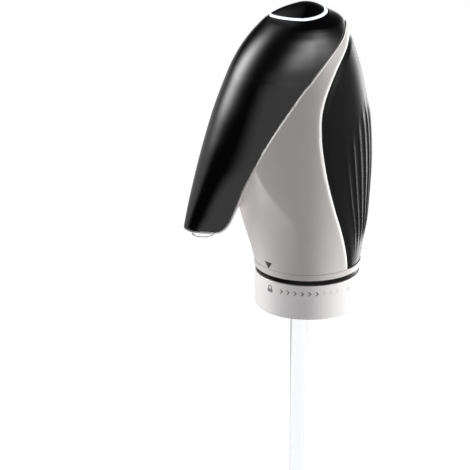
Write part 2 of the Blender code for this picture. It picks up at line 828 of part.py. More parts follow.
def side_patch(foot_heights):
    turns, heights = rim_stations()
    turns, heights = moved_edge(turns, heights, GAP)
    cheek_height = heights[-1]
    foot = foot_heights[:-1]
    crease_turns = np.arccos(crease_reach(foot) / egg_front(foot))
    left_turns = np.concatenate((crease_turns, turns[::-1]))
    left_heights = np.concatenate((foot, heights[::-1]))
    top_share = panel_share_at(cheek_height)
    shares = np.concatenate(([panel_share_at(height) for height in foot],
                             eased(0.0, top_share, BROW_ROWS, 1.25)[::-1]))
    right_turns, right_heights = panel_stations(shares)
    right_turns[0] = panel_turn_at(foot[:1])[0]
    right_turns, right_heights = moved_edge(right_turns, right_heights, GAP)
    right_heights[0] = SHELL_BOTTOM
    right_turns[-1] = math.pi
    part = np.linspace(0.0, 1.0, SHELL_COLUMNS)[None, :]
    turn_grid = left_turns[:, None] * (1 - part) + right_turns[:, None] * part
    height_grid = left_heights[:, None] * (1 - part) + right_heights[:, None] * part
    outer = egg(turn_grid, height_grid)
    outer[-1, :, 1] = 0.0
    return outer, normals_of(egg, turn_grid, height_grid)


def throat_patch(foot_heights, cheek_point):
    foot = foot_heights[:-1]
    reach = np.minimum((beak_reach_at(foot) - GAP) / throat_reach(foot), 1.0)
    start_turns = np.where(beak_reach_at(foot) > throat_reach(foot), 0.0, np.arccos(reach))
    end_turns = np.arccos(crease_reach(foot) / throat_reach(foot))
    part = np.linspace(0.0, 1.0, THROAT_COLUMNS)[None, :]
    turn_grid = start_turns[:, None] * (1 - part) + end_turns[:, None] * part
    height_grid = foot[:, None] + 0.0 * turn_grid
    outer = throat(turn_grid, height_grid)
    normals = normals_of(throat, turn_grid, height_grid)
    outer = np.concatenate((outer, np.broadcast_to(cheek_point, (1, THROAT_COLUMNS, 3))))
    normals = np.concatenate((normals, normals[-1:]))
    return outer, normals


def make_main_shell():
    turns, heights = moved_edge(*rim_stations(), GAP)
    cheek_point = egg(turns[-1], heights[-1])
    crotch_height = crotch_level()
    low = eased(SHELL_BOTTOM, crotch_height, FOOT_ROWS - 3)
    foot_heights = np.concatenate((low, eased(crotch_height, cheek_point[2], 5)[1:]))
    side, side_normals = side_patch(foot_heights)
    front, front_normals = throat_patch(foot_heights, cheek_point)
    for normals in (side_normals, front_normals):
        normals[0, :, 2] = 0.0
    patches = [(points, points - unit(normals) * SHELL_WALL)
               for points, normals in ((side, side_normals), (front, front_normals))]
    return mirrored_body("main_shell", patches, pearl())


# Height at which the throat's middle line runs into the underside of the beak
def crotch_level():
    heights = np.linspace(BEAK_MOUTH_HEIGHT, level(RIM_SHARES[-1, 0]), 400)
    behind = beak_reach_at(heights) - GAP > throat_reach(heights)
    return float(heights[behind].max())


# Pale lid that closes the beak from below

LID_COLUMNS = 6


# Rows of the lid from the tip to the cheek: reach, height, half-width
def lid_rows():
    arcs = np.linspace(0.0, math.pi / 2, MOUTH_COLUMNS)
    mouth = np.stack((BEAK_REACH - BEAK_MOUTH_LENGTH * (1 - np.cos(arcs)),
                      np.full(MOUTH_COLUMNS, BEAK_MOUTH_HEIGHT),
                      BEAK_MOUTH_HALF_WIDTH * np.sin(arcs)), -1)
    edge = beak_edge(np.linspace(0.0, 1.0, BEAK_ROWS + 1))[::-1]
    return np.concatenate((mouth, edge[1:-1]))


# Where a row of the lid runs into the throat, found by halving
def start_of_lid_row(place, outward, lift, crown, half_width):
    low = 0.0
    high = half_width

    def inside(side):
        rise = lift + crown * (1 - (side / half_width) ** 2)
        spot = place + outward * rise
        reach = float(throat_reach(spot[2])) + GAP
        width = float(throat_width(spot[2])) + GAP
        return (spot[0] / reach) ** 2 + (side / width) ** 2 < 1.0

    if half_width == 0.0 or not inside(0.0):
        return 0.0
    for _ in range(30):
        middle = (low + high) / 2
        if inside(middle):
            low = middle
        else:
            high = middle
    return high


def make_beak_underside():
    rows = lid_rows()
    tangents = np.gradient(rows[:, :2] * (-1, 1), axis=0)
    tangents[:MOUTH_COLUMNS - 1] = (1.0, 0.0)
    tangents = unit(tangents)
    part = np.linspace(0.0, 1.0, LID_COLUMNS)
    outer = []
    inner = []
    for (reach, height, half_width), (run, rise) in zip(rows, tangents):
        place = np.array((-reach, 0.0, height))
        outward = np.array((rise, 0.0, -run))
        crown = LID_CROWN_SHARE * half_width
        start = max(start_of_lid_row(place, outward, GAP + LID_EDGE, crown, half_width),
                    start_of_lid_row(place, outward, GAP, 0.0, half_width))
        if half_width > 0.0 and half_width - start < LID_EDGE:
            break
        sides = start + (half_width - start) * part
        level_share = (sides / half_width) ** 2 if half_width > 0.0 else np.ones(LID_COLUMNS)
        lifts = GAP + LID_EDGE + crown * (1 - level_share)
        row = place - sides[:, None] * np.array((0.0, 1.0, 0.0))
        outer.append(row + lifts[:, None] * outward)
        inner.append(row + GAP * outward)
    lid = mirrored_body("beak_underside", [(np.array(outer), np.array(inner))], pearl())
    hole = rod("nozzle_hole", NOZZLE_RADIUS + GAP, BEAK_MOUTH_HEIGHT - NOZZLE_STANDOUT, BEAK_MOUTH_HEIGHT,
               pearl(), place=(nozzle_centre(), 0.0, 0.0), steps=TURN_STEPS)
    cut(lid, hole)
    return lid


def nozzle_centre():
    return NOZZLE_SETBACK - BEAK_REACH


# Black grip panel at the back, with its upright ribs

PANEL_ROWS = 17


def rib_columns():
    shares = [0.0, (1 - RIB_SPACING_SHARE * RIBS_EACH_SIDE) / 2]
    for number in range(RIBS_EACH_SIDE, 0, -1):
        middle = 1 - number * RIB_SPACING_SHARE
        shares += [middle - RIB_HALF_WIDTH_SHARE, middle, middle + RIB_HALF_WIDTH_SHARE]
    return np.array(shares + [1 - RIB_HALF_WIDTH_SHARE, 1.0])


# Height of the ribs over the panel: full on their lines, nothing between them or past their ends
def rib_lift(columns, heights):
    number = (1 - columns) / RIB_SPACING_SHARE
    off_line = np.abs(number - np.round(number)) * RIB_SPACING_SHARE
    on_rib = (off_line < RIB_HALF_WIDTH_SHARE / 2) & (np.round(number) <= RIBS_EACH_SIDE)
    top = RIB_TOP_SHARE - RIB_TOP_FALL_SHARE * (number / RIBS_EACH_SIDE) ** 2
    shares = (heights - SHELL_BOTTOM) / CASING_HEIGHT
    from_top = np.clip((top - shares) / RIB_FADE_SHARE, 0.0, 1.0)
    from_bottom = np.clip((shares - RIB_BOTTOM_SHARE) / RIB_FADE_SHARE, 0.0, 1.0)
    return np.where(on_rib, RIB_HEIGHT * from_top * from_bottom, 0.0)


def make_rear_panel():
    shares = eased(0.0, 1.0, PANEL_ROWS, 1.4)
    turns, heights = panel_stations(shares)
    columns = rib_columns()[None, :]
    turn_grid = turns[:, None] * (1 - columns) + math.pi * columns
    height_grid = heights[:, None] + 0.0 * turn_grid
    casing = egg(turn_grid, height_grid)
    normals = normals_of(egg, turn_grid, height_grid)
    normals[-1, :, 2] = 0.0
    normals = unit(normals)
    lift = rib_lift(columns + 0.0 * turn_grid, height_grid) - PANEL_RECESS
    outer = casing + normals * lift[..., None]
    inner = casing - normals * (PANEL_RECESS + PANEL_WALL)
    for points in (outer, inner):
        points[:, -1, 1] = 0.0
        points[0, :, 1] = 0.0
    panel = mirrored_body("rear_panel", [(outer[::-1], inner[::-1])], satin_black())
    width = SOCKET_WIDTH / 2 + GAP
    middle = socket_height()
    opening = box("socket_opening", (socket_back() - SOCKET_DEPTH, -width, middle - SOCKET_HEIGHT / 2 - GAP),
                  (BACK_REACH + OVERRUN, width, middle + SOCKET_HEIGHT / 2 + GAP), satin_black())
    cut(panel, opening)
    return panel


# Head: light ring, button and the frame below them

def make_head_empty():
    empty = bpy.data.objects.new("head_axis", None)
    PIECES.objects.link(empty)
    empty.location = dome_centre()
    empty.rotation_euler = (0.0, -HEAD_TILT, 0.0)
    return empty


def dome_height(radius):
    return math.sqrt(DOME_RADIUS ** 2 - radius ** 2)


def light_ring_inner():
    return LIGHT_RING_RADIUS - LIGHT_RING_WIDTH


def light_ring_bottom():
    return dome_height(LIGHT_RING_RADIUS) - LIGHT_RING_DEPTH


def make_light_ring(head):
    outer = LIGHT_RING_RADIUS
    inner = light_ring_inner()
    middle = (outer + inner) / 2
    bottom = light_ring_bottom()
    profile = [(middle, dome_height(middle)), (outer, dome_height(outer)), (outer, bottom),
               (inner, bottom), (inner, dome_height(inner))]
    return turned("light_ring", profile, lit_plastic(), parent=head)


def flange_top():
    return light_ring_bottom() - GAP


def flange_bottom():
    return flange_top() - BUTTON_FLANGE_HEIGHT


def stem_bottom():
    return board_top() + SWITCH_HEIGHT + PLUNGER_LENGTH / 2 + GAP


def make_power_button(head):
    outer = light_ring_inner() - GAP
    flange = outer + BUTTON_FLANGE_WIDTH
    inner = outer - BUTTON_SKIRT
    dome = [(radius, dome_height(radius)) for radius in np.linspace(0.0, outer, 6)]
    roof = [(radius, dome_height(radius) - BUTTON_WALL) for radius in np.linspace(inner, BUTTON_STEM_RADIUS, 4)]
    profile = dome + [(outer, flange_top()), (flange, flange_top()), (flange, flange_bottom()),
                      (inner, flange_bottom())]
    profile += roof + [(BUTTON_STEM_RADIUS, stem_bottom()), (0.0, stem_bottom())]
    return turned("power_button", profile, gloss_black(), parent=head)


def frame_rim():
    return light_ring_bottom() - GAP


def frame_floor_top():
    return flange_bottom() - BUTTON_TRAVEL - PLUNGER_LENGTH / 2 - SWITCH_HEIGHT - BOARD_THICKNESS - 2 * GAP


def frame_floor_bottom():
    return frame_floor_top() - FRAME_FLOOR


def make_button_frame(head):
    inner = FRAME_RADIUS - FRAME_WALL
    profile = [(0.0, frame_floor_top()), (inner, frame_floor_top()), (inner, frame_rim()),
               (FRAME_RADIUS, frame_rim()), (FRAME_RADIUS, frame_floor_bottom()), (0.0, frame_floor_bottom())]
    return turned("button_frame", profile, grey_plastic(), parent=head)


def board_top():
    return frame_floor_top() + GAP + BOARD_THICKNESS


def make_button_board(head):
    radius = FRAME_RADIUS - FRAME_WALL - GAP
    return rod("button_board", radius, frame_floor_top() + GAP, board_top(), board_green(), parent=head,
               steps=TURN_STEPS)


def make_tact_switch(head):
    half = SWITCH_SIDE / 2
    bottom = board_top() + GAP
    switch = box("tact_switch", (-half, -half, bottom), (half, half, board_top() + SWITCH_HEIGHT),
                 grey_plastic(), parent=head)
    well = rod("switch_well", PLUNGER_RADIUS + GAP, bottom + BUTTON_TRAVEL, board_top() + SWITCH_HEIGHT + OVERRUN,
               grey_plastic(), parent=head)
    cut(switch, well)
    return switch


def make_switch_plunger(head):
    top = stem_bottom() - GAP
    return rod("switch_plunger", PLUNGER_RADIUS, top - PLUNGER_LENGTH, top, pale_plastic(), parent=head)


# Foot: chassis, rings and the clamp

def make_base_chassis():
    flange = BASE_RING_RADIUS - BASE_RING_WIDTH - GAP
    profile = [(0.0, BASE_TOP), (flange, BASE_TOP), (flange, BASE_BOTTOM), (SKIRT_RADIUS, BASE_BOTTOM),
               (SKIRT_RADIUS, SKIRT_BOTTOM), (SKIRT_INNER_RADIUS, SKIRT_BOTTOM),
               (SKIRT_INNER_RADIUS, FLOOR_UNDERSIDE), (0.0, FLOOR_UNDERSIDE)]
    chassis = turned("base_chassis", profile, satin_black())
    post = box("charge_post", (CHARGE_BOARD_FRONT + GAP, -CHARGE_POST_HALF_WIDTH, BASE_TOP - OVERRUN),
               (CHARGE_BOARD_FRONT + CHARGE_POST_DEPTH, CHARGE_POST_HALF_WIDTH, BASE_TOP + CHARGE_POST_HEIGHT),
               satin_black())
    fuse(chassis, post)
    tube_hole = rod("tube_hole", TUBE_RADIUS + GAP, FLOOR_UNDERSIDE - OVERRUN, BASE_TOP + OVERRUN,
                    satin_black(), place=(TUBE_OFFSET, 0.0, 0.0))
    cut(chassis, tube_hole)
    seat = rod("o_ring_seat", TUBE_RADIUS + O_RING_WIDTH + 2 * GAP, BASE_TOP - O_RING_HEIGHT - GAP,
               BASE_TOP + OVERRUN, satin_black(), place=(TUBE_OFFSET, 0.0, 0.0))
    cut(chassis, seat)
    vent_hole = rod("vent_hole", VENT_RADIUS + GAP, FLOOR_UNDERSIDE - OVERRUN, BASE_TOP + OVERRUN,
                    satin_black(), place=(VENT_OFFSET, 0.0, 0.0))
    cut(chassis, vent_hole)
    for number in range(PIN_COUNT):
        half = PIN_RADIUS + GAP
        slot = box(f"skirt_slot_{number}", (NECK_RADIUS, -half, SKIRT_BOTTOM - OVERRUN),
                   (COLLAR_RADIUS, half, PIN_HEIGHT + half), satin_black())
        slot.rotation_euler = (0.0, 0.0, pin_turn(number))
        cut(chassis, slot)
    return chassis


def pin_turn(number):
    return math.tau * (number + 0.5) / PIN_COUNT


def make_base_ring():
    inner = BASE_RING_RADIUS - BASE_RING_WIDTH
    half_width = float(egg_width(SHELL_BOTTOM))
    profile = [(half_width, BASE_TOP), (BASE_RING_RADIUS, BASE_BOTTOM), (inner, BASE_BOTTOM), (inner, BASE_TOP)]
    base = turned("base_ring", profile, pearl())
    base.scale.x = float(egg_back(SHELL_BOTTOM)) / half_width
    return base


def make_seal_band():
    return ring("seal_band", BASE_RING_RADIUS - BAND_RECESS, COLLAR_BORE, COLLAR_TOP + GAP, BASE_BOTTOM - GAP,
                dark_rubber())


def make_lock_collar():
    bottom = COLLAR_BOTTOM
    fillet = [(COLLAR_RADIUS - COLLAR_FILLET * (1 - math.cos(turn)), bottom + COLLAR_FILLET * (1 - math.sin(turn)))
              for turn in np.linspace(0.0, math.pi / 2, 4)]
    recess = RETAINER_RADIUS + GAP
    profile = [(COLLAR_RADIUS - COLLAR_TOP_FILLET, COLLAR_TOP), (COLLAR_RADIUS, COLLAR_TOP - COLLAR_TOP_FILLET)]
    profile += fillet + [(recess, bottom), (recess, SHOULDER_HEIGHT), (COLLAR_BORE, SHOULDER_HEIGHT),
                         (COLLAR_BORE, COLLAR_TOP)]
    collar = turned("lock_collar", profile, pale_plastic(), steps=COLLAR_STEPS)
    for number in range(PIN_COUNT):
        cut(collar, cam_groove(number))
    return collar


# Groove inside the collar that a pin of the pressure ring runs in: a screw line as long as
# the collar's turn, which drops by the clamp's travel
def cam_groove(number):
    parts = np.linspace(-0.06, 1.06, 13)
    turns = pin_turn(number) + parts * COLLAR_TURN
    heights = PIN_HEIGHT - parts * CLAMP_TRAVEL
    route = np.stack((COLLAR_BORE * np.cos(turns), COLLAR_BORE * np.sin(turns), heights), -1)
    groove = hose(f"cam_groove_{number}", route, PIN_RADIUS + GAP, pale_plastic(),
                  float(np.linalg.norm(route[1] - route[0])))
    return meshed(groove)


# A curve turned into a mesh whose caps are welded on, so that it can cut
def meshed(curve_piece):
    bpy.context.view_layer.update()
    evaluated = curve_piece.evaluated_get(bpy.context.evaluated_depsgraph_get())
    mesh = bpy.data.meshes.new_from_object(evaluated)
    shape = bmesh.new()
    shape.from_mesh(mesh)
    bmesh.ops.remove_doubles(shape, verts=shape.verts[:], dist=MERGE_DISTANCE)
    shape.to_mesh(mesh)
    shape.free()
    name = curve_piece.name
    place = curve_piece.matrix_world.copy()
    material = curve_piece.data.materials[0]
    bpy.data.objects.remove(curve_piece, do_unlink=True)
    mesh.materials.clear()
    piece = add_object(name, mesh, material)
    piece.matrix_world = place
    return piece


def make_collar_retainer():
    return ring("collar_retainer", RETAINER_RADIUS, SKIRT_INNER_RADIUS, RETAINER_BOTTOM, RETAINER_TOP,
                grey_plastic())


def make_pressure_ring():
    bottom = CLAMP_RING_TOP - CLAMP_RING_HEIGHT
    clamp = ring("pressure_ring", SLEEVE_RADIUS, NECK_RADIUS, bottom, CLAMP_RING_TOP, grey_plastic())
    for number in range(PIN_COUNT):
        turn = pin_turn(number)
        outward = Vector((math.cos(turn), math.sin(turn), 0.0))
        start = (NECK_RADIUS + SLEEVE_RADIUS) / 2
        tip = COLLAR_BORE
        nose = [(PIN_RADIUS * math.sin(arc), tip - start + PIN_RADIUS * math.cos(arc))
                for arc in np.linspace(0.0, math.pi / 2, 4)]
        pin = turned(f"clamp_pin_{number}", nose + [(PIN_RADIUS, 0.0), (0.0, 0.0)], grey_plastic(),
                     place=outward * start + Vector((0.0, 0.0, PIN_HEIGHT)), steps=12)
        lying(pin, outward)
        fuse(clamp, pin)
    return clamp


def make_neck_seal_sleeve():
    return ring("neck_seal_sleeve", SLEEVE_RADIUS, NECK_RADIUS, SLEEVE_BOTTOM, GASKET_THICKNESS, pale_silicone())


def make_lip_gasket():
    return ring("lip_gasket", GASKET_RADIUS, LIP_SEAT_INNER_RADIUS, 0.0, GASKET_THICKNESS, pale_silicone())


# Ports and dip tube

def port_bottom():
    return BASE_TOP + GAP


def make_port_block():
    bottom = port_bottom()
    block = rod("port_block", PORT_RADIUS, bottom, bottom + PORT_HEIGHT, grey_plastic(), steps=TURN_STEPS)
    vent = rod("vent_pipe", VENT_RADIUS, -VENT_REACH, bottom + OVERRUN, grey_plastic(), place=(VENT_OFFSET, 0.0, 0.0))
    fuse(block, vent)
    for name, side, radius in (("wine_barb", 1.0, BARB_RADIUS), ("air_barb", -1.0, AIR_HOSE_RADIUS)):
        barb = rod(name, radius, 0.0, PORT_RADIUS / 2 + PORT_BARB_LENGTH, grey_plastic(),
                   place=(TUBE_OFFSET, side * PORT_RADIUS / 2, bottom + PORT_BARB_HEIGHT))
        fuse(block, lying(barb, (0.0, side, 0.0)))
    socket = rod("tube_socket", TUBE_RADIUS + GAP, bottom - OVERRUN, bottom + TUBE_SOCKET, grey_plastic(),
                 place=(TUBE_OFFSET, 0.0, 0.0))
    cut(block, socket)
    bore = rod("vent_bore", VENT_BORE, -VENT_REACH - OVERRUN, bottom + PORT_BARB_HEIGHT, grey_plastic(),
               place=(VENT_OFFSET, 0.0, 0.0), steps=12)
    cut(block, bore)
    return block


def barb_tip():
    return PORT_RADIUS + PORT_BARB_LENGTH


def make_tube_o_ring():
    inner = TUBE_RADIUS + GAP
    return ring("tube_o_ring", inner + O_RING_WIDTH, inner, BASE_TOP - O_RING_HEIGHT, BASE_TOP, dark_rubber(),
                place=(TUBE_OFFSET, 0.0, 0.0), steps=SMALL_TURN_STEPS)


def tube_top():
    return port_bottom() + TUBE_SOCKET - GAP


def make_dip_tube_outer():
    return ring("dip_tube_outer", TUBE_RADIUS, TUBE_BORE, -TUBE_REACH, tube_top(), clear_plastic(),
                place=(TUBE_OFFSET, 0.0, 0.0), steps=SMALL_TURN_STEPS)


def make_tube_guide():
    guide_outer = TUBE_RADIUS + TUBE_FOOT_WALL
    bottom = -TUBE_REACH - TUBE_FOOT_WALL - GAP
    slide = INNER_TUBE_RADIUS + GAP / 2
    profile = [(guide_outer + GAP, bottom + TUBE_SEAL_LENGTH), (guide_outer + GAP, bottom), (slide, bottom),
               (slide, -TUBE_REACH - GAP), (TUBE_RADIUS + GAP, -TUBE_REACH - GAP),
               (TUBE_RADIUS + GAP, bottom + TUBE_SEAL_LENGTH)]
    return turned("tube_guide", profile, pale_silicone(), place=(TUBE_OFFSET, 0.0, 0.0), steps=SMALL_TURN_STEPS)


def inner_tube_top():
    return TUBE_OVERLAP - TUBE_REACH


def make_dip_tube_inner():
    top = inner_tube_top()
    return ring("dip_tube_inner", INNER_TUBE_RADIUS, INNER_TUBE_BORE, top - INNER_TUBE_LENGTH, top,
                clear_plastic(), place=(TUBE_OFFSET, 0.0, 0.0), steps=SMALL_TURN_STEPS)


def make_tube_foot():
    tube_end = inner_tube_top() - INNER_TUBE_LENGTH
    inner = INNER_TUBE_RADIUS + GAP
    outer = inner + TUBE_FOOT_WALL
    bottom = tube_end - TUBE_FOOT_LENGTH / 2
    foot = turned("tube_foot", [(outer, bottom + TUBE_FOOT_LENGTH), (outer, bottom), (INNER_TUBE_BORE, bottom),
                                (INNER_TUBE_BORE, tube_end - GAP), (inner, tube_end - GAP),
                                (inner, bottom + TUBE_FOOT_LENGTH)],
                  pale_silicone(), place=(TUBE_OFFSET, 0.0, 0.0), steps=SMALL_TURN_STEPS)
    notch_half = INNER_TUBE_BORE / 2
    notch = box("foot_notch", (TUBE_OFFSET - 2 * outer, -notch_half, bottom - OVERRUN),
                (TUBE_OFFSET + 2 * outer, notch_half, bottom + notch_half), pale_silicone())
    cut(foot, notch)
    return foot


# Nozzle and mixing chamber

def make_nozzle():
    bottom = BEAK_MOUTH_HEIGHT - NOZZLE_STANDOUT
    flange_low = BEAK_MOUTH_HEIGHT
    flange_high = flange_low + NOZZLE_FLANGE_HEIGHT
    flange = NOZZLE_RADIUS + NOZZLE_FLANGE_WIDTH
    bore = NOZZLE_RADIUS - NOZZLE_WALL
    profile = [(flange, flange_high), (flange, flange_low), (NOZZLE_RADIUS, flange_low), (NOZZLE_RADIUS, bottom),
               (bore, bottom), (bore, flange_high)]
    return turned("nozzle", profile, clear_plastic(), place=(nozzle_centre(), 0.0, 0.0))


def nozzle_seal_bottom():
    return BEAK_MOUTH_HEIGHT + NOZZLE_FLANGE_HEIGHT + GAP


def make_nozzle_seal():
    bottom = nozzle_seal_bottom()
    inner = NOZZLE_RADIUS - NOZZLE_WALL
    return ring("nozzle_seal", inner + NOZZLE_SEAL_WIDTH, inner, bottom, bottom + NOZZLE_SEAL_HEIGHT,
                dark_rubber(), place=(nozzle_centre(), 0.0, 0.0), steps=SMALL_TURN_STEPS)


def chamber_bottom():
    return nozzle_seal_bottom() + NOZZLE_SEAL_HEIGHT + GAP


def chamber_barb_top():
    return chamber_bottom() + CHAMBER_HEIGHT + BARB_LENGTH


def make_aerator_chamber():
    bottom = chamber_bottom()
    top = bottom + CHAMBER_HEIGHT
    inner = CHAMBER_RADIUS - CHAMBER_WALL
    profile = [(BARB_RADIUS, top + BARB_LENGTH), (BARB_RADIUS, top), (CHAMBER_RADIUS, top), (CHAMBER_RADIUS, bottom),
               (inner, bottom), (inner, top - CHAMBER_CAP), (BARB_BORE, top - CHAMBER_CAP),
               (BARB_BORE, top + BARB_LENGTH)]
    return turned("aerator_chamber", profile, pale_plastic(), place=(nozzle_centre(), 0.0, 0.0),
                  steps=SMALL_TURN_STEPS)


def make_wine_hose():
    height = port_bottom() + PORT_BARB_HEIGHT
    start = (TUBE_OFFSET, barb_tip() + GAP, height)
    beside = (TUBE_OFFSET, barb_tip() + WINE_HOSE_RADIUS, height)
    above = (nozzle_centre(), 0.0, chamber_barb_top() + 2 * WINE_HOSE_RADIUS)
    end = (nozzle_centre(), 0.0, chamber_barb_top() + GAP)
    bends = [(x * BEAK_REACH, y * BODY_HALF_WIDTH, level(z)) for x, y, z in WINE_HOSE_SHARES]
    route = (start, beside, *bends, above, end)
    return hose("wine_hose", route, WINE_HOSE_RADIUS, clear_plastic(), WINE_HOSE_RADIUS)


def make_air_hose():
    height = port_bottom() + PORT_BARB_HEIGHT
    start = (TUBE_OFFSET, -barb_tip() - GAP, height)
    beside = (TUBE_OFFSET, -barb_tip() - AIR_HOSE_RADIUS, height)
    above = (MOTOR_OFFSET, -PUMP_BARB_OFFSET, pump_barb_top() + AIR_HOSE_RADIUS)
    end = (MOTOR_OFFSET, -PUMP_BARB_OFFSET, pump_barb_top() + GAP)
    bends = [(x * BEAK_REACH, y * BODY_HALF_WIDTH, z * pump_barb_top()) for x, y, z in AIR_HOSE_SHARES]
    route = (start, beside, *bends, above, end)
    return hose("air_hose", route, AIR_HOSE_RADIUS, pale_silicone(), 2 * AIR_HOSE_RADIUS)


# Upright and pump

def upright_top():
    floor_middle = dome_centre() + head_axis() * (frame_floor_bottom() - GAP)
    lean = (UPRIGHT_FRONT + UPRIGHT_THICKNESS - floor_middle[0]) * math.tan(HEAD_TILT)
    return float(floor_middle[2]) + min(lean, 0.0)


def make_inner_frame():
    top = upright_top()
    foot = BASE_TOP + GAP
    half = [(UPRIGHT_LEG_INNER, UPRIGHT_ARCH_HEIGHT), (UPRIGHT_LEG_INNER, foot), (UPRIGHT_LEG_OUTER, foot),
            (UPRIGHT_LEG_OUTER, top - UPRIGHT_CHAMFER), (UPRIGHT_TOP_HALF_WIDTH, top)]
    points = half + [(-side, height) for side, height in reversed(half)]
    plate = flat_plate("inner_frame", points, UPRIGHT_THICKNESS, grey_plastic())
    plate.rotation_euler = (math.pi / 2, 0.0, math.pi / 2)
    plate.location = (UPRIGHT_FRONT + UPRIGHT_THICKNESS / 2, 0.0, 0.0)
    return plate


def motor_top():
    return MOTOR_BASE_HEIGHT + MOTOR_LENGTH


def make_motor_can():
    return rod("motor_can", MOTOR_RADIUS, MOTOR_BASE_HEIGHT, motor_top(), steel(), place=(MOTOR_OFFSET, 0.0, 0.0),
               steps=TURN_STEPS)


def make_motor_end_cap():
    top = MOTOR_BASE_HEIGHT - GAP
    return rod("motor_end_cap", MOTOR_RADIUS - MOTOR_BRACKET_WALL, top - MOTOR_CAP_HEIGHT, top, pale_plastic(),
               place=(MOTOR_OFFSET, 0.0, 0.0))


def make_motor_bracket():
    bottom = MOTOR_BASE_HEIGHT + (MOTOR_LENGTH - MOTOR_BRACKET_HEIGHT) / 2
    top = bottom + MOTOR_BRACKET_HEIGHT
    bore = MOTOR_RADIUS + GAP
    outer = bore + MOTOR_BRACKET_WALL
    bracket = ring("motor_bracket", outer, bore, bottom, top, grey_plastic(), place=(MOTOR_OFFSET, 0.0, 0.0))
    pad = box("bracket_pad", (MOTOR_OFFSET + bore + MOTOR_BRACKET_WALL / 2, -MOTOR_BRACKET_HALF_WIDTH, bottom),
              (UPRIGHT_FRONT - GAP, MOTOR_BRACKET_HALF_WIDTH, top), grey_plastic())
    fuse(bracket, pad)
    return bracket


def make_pump_rotor():
    bottom = motor_top() + GAP
    rotor = rod("pump_rotor", SHAFT_RADIUS, bottom, bottom + SHAFT_LENGTH, steel(), place=(MOTOR_OFFSET, 0.0, 0.0))
    disc = rod("eccentric_disc", ECCENTRIC_RADIUS, bottom + ECCENTRIC_LIFT,
               bottom + ECCENTRIC_LIFT + ECCENTRIC_HEIGHT, steel(), place=(MOTOR_OFFSET + ECCENTRIC_THROW, 0.0, 0.0))
    fuse(rotor, disc)
    return rotor


def pump_head_top():
    return motor_top() + GAP + PUMP_HEAD_HEIGHT


def make_pump_body():
    bottom = motor_top() + GAP
    top = pump_head_top()
    inner = MOTOR_RADIUS - PUMP_WALL
    profile = [(0.0, top), (MOTOR_RADIUS, top), (MOTOR_RADIUS, bottom), (inner, bottom), (inner, top - PUMP_ROOF),
               (0.0, top - PUMP_ROOF)]
    return turned("pump_body", profile, grey_plastic(), place=(MOTOR_OFFSET, 0.0, 0.0))


def make_pump_diaphragm():
    bottom = pump_head_top() + GAP
    return rod("pump_diaphragm", MOTOR_RADIUS, bottom, bottom + DIAPHRAGM_THICKNESS, dark_rubber(),
               place=(MOTOR_OFFSET, 0.0, 0.0))


def pump_cover_top():
    return pump_head_top() + 2 * GAP + DIAPHRAGM_THICKNESS + PUMP_COVER_HEIGHT


def pump_barb_top():
    return pump_cover_top() + BARB_LENGTH


def make_pump_cover():
    cover = rod("pump_cover", MOTOR_RADIUS, pump_cover_top() - PUMP_COVER_HEIGHT, pump_cover_top(), pale_plastic(),
                place=(MOTOR_OFFSET, 0.0, 0.0), steps=TURN_STEPS)
    for name, side in (("outlet_barb", -PUMP_BARB_OFFSET), ("inlet_barb", PUMP_BARB_OFFSET)):
        barb = rod(name, AIR_HOSE_RADIUS, pump_cover_top() - OVERRUN, pump_barb_top(), pale_plastic(),
                   place=(MOTOR_OFFSET, side, 0.0), steps=12)
        fuse(cover, barb)
    return cover


# Battery and boards

def battery_centre():
    return UPRIGHT_FRONT + UPRIGHT_THICKNESS + GAP + HOLDER_WALL + GAP + BATTERY_RADIUS


def battery_top():
    return BATTERY_BASE_HEIGHT + BATTERY_LENGTH


def make_battery_cell():
    top = battery_top()
    profile = [(0.0, top), (BATTERY_NUB_RADIUS, top), (BATTERY_NUB_RADIUS, top - BATTERY_NUB_HEIGHT),
               (BATTERY_RADIUS, top - BATTERY_NUB_HEIGHT), (BATTERY_RADIUS, BATTERY_BASE_HEIGHT),
               (0.0, BATTERY_BASE_HEIGHT)]
    return turned("battery_cell", profile, battery_wrap(), place=(battery_centre(), 0.0, 0.0))


def holder_ends():
    room = CONTACT_THICKNESS + 2 * GAP
    return BATTERY_BASE_HEIGHT - room, battery_top() + room


def holder_back():
    return battery_centre() + BATTERY_RADIUS


def make_battery_holder():
    low, high = holder_ends()
    half = BATTERY_RADIUS + GAP + HOLDER_WALL
    front = UPRIGHT_FRONT + UPRIGHT_THICKNESS + GAP
    holder = box("battery_holder", (front, -half, low - HOLDER_WALL), (holder_back(), half, high + HOLDER_WALL),
                 satin_black())
    pocket = box("battery_pocket", (front + HOLDER_WALL, HOLDER_WALL - half, low),
                 (holder_back() + OVERRUN, half - HOLDER_WALL, high), satin_black())
    cut(holder, pocket)
    return holder


def make_battery_contact(name, bottom):
    half = CONTACT_WIDTH / 2
    middle = battery_centre()
    return box(name, (middle - half, -half, bottom), (middle + half, half, bottom + CONTACT_THICKNESS), steel())


def board_front():
    return holder_back() + GAP


def make_main_board():
    low = holder_ends()[0]
    return box("main_board", (board_front(), -MAIN_BOARD_HALF_WIDTH, low),
               (board_front() + BOARD_THICKNESS, MAIN_BOARD_HALF_WIDTH, low + MAIN_BOARD_LENGTH), board_green())


def charge_board_bottom():
    return BASE_TOP + CHARGE_POST_HEIGHT + GAP


def make_charge_board():
    bottom = charge_board_bottom()
    return box("charge_board", (CHARGE_BOARD_FRONT, -CHARGE_BOARD_HALF_WIDTH, bottom),
               (CHARGE_BOARD_FRONT + CHARGE_BOARD_LENGTH, CHARGE_BOARD_HALF_WIDTH, bottom + BOARD_THICKNESS),
               board_green())


def socket_height():
    return charge_board_bottom() + BOARD_THICKNESS + GAP + SOCKET_HEIGHT / 2


def socket_back():
    return float(egg_back(socket_height())) - SOCKET_INSET


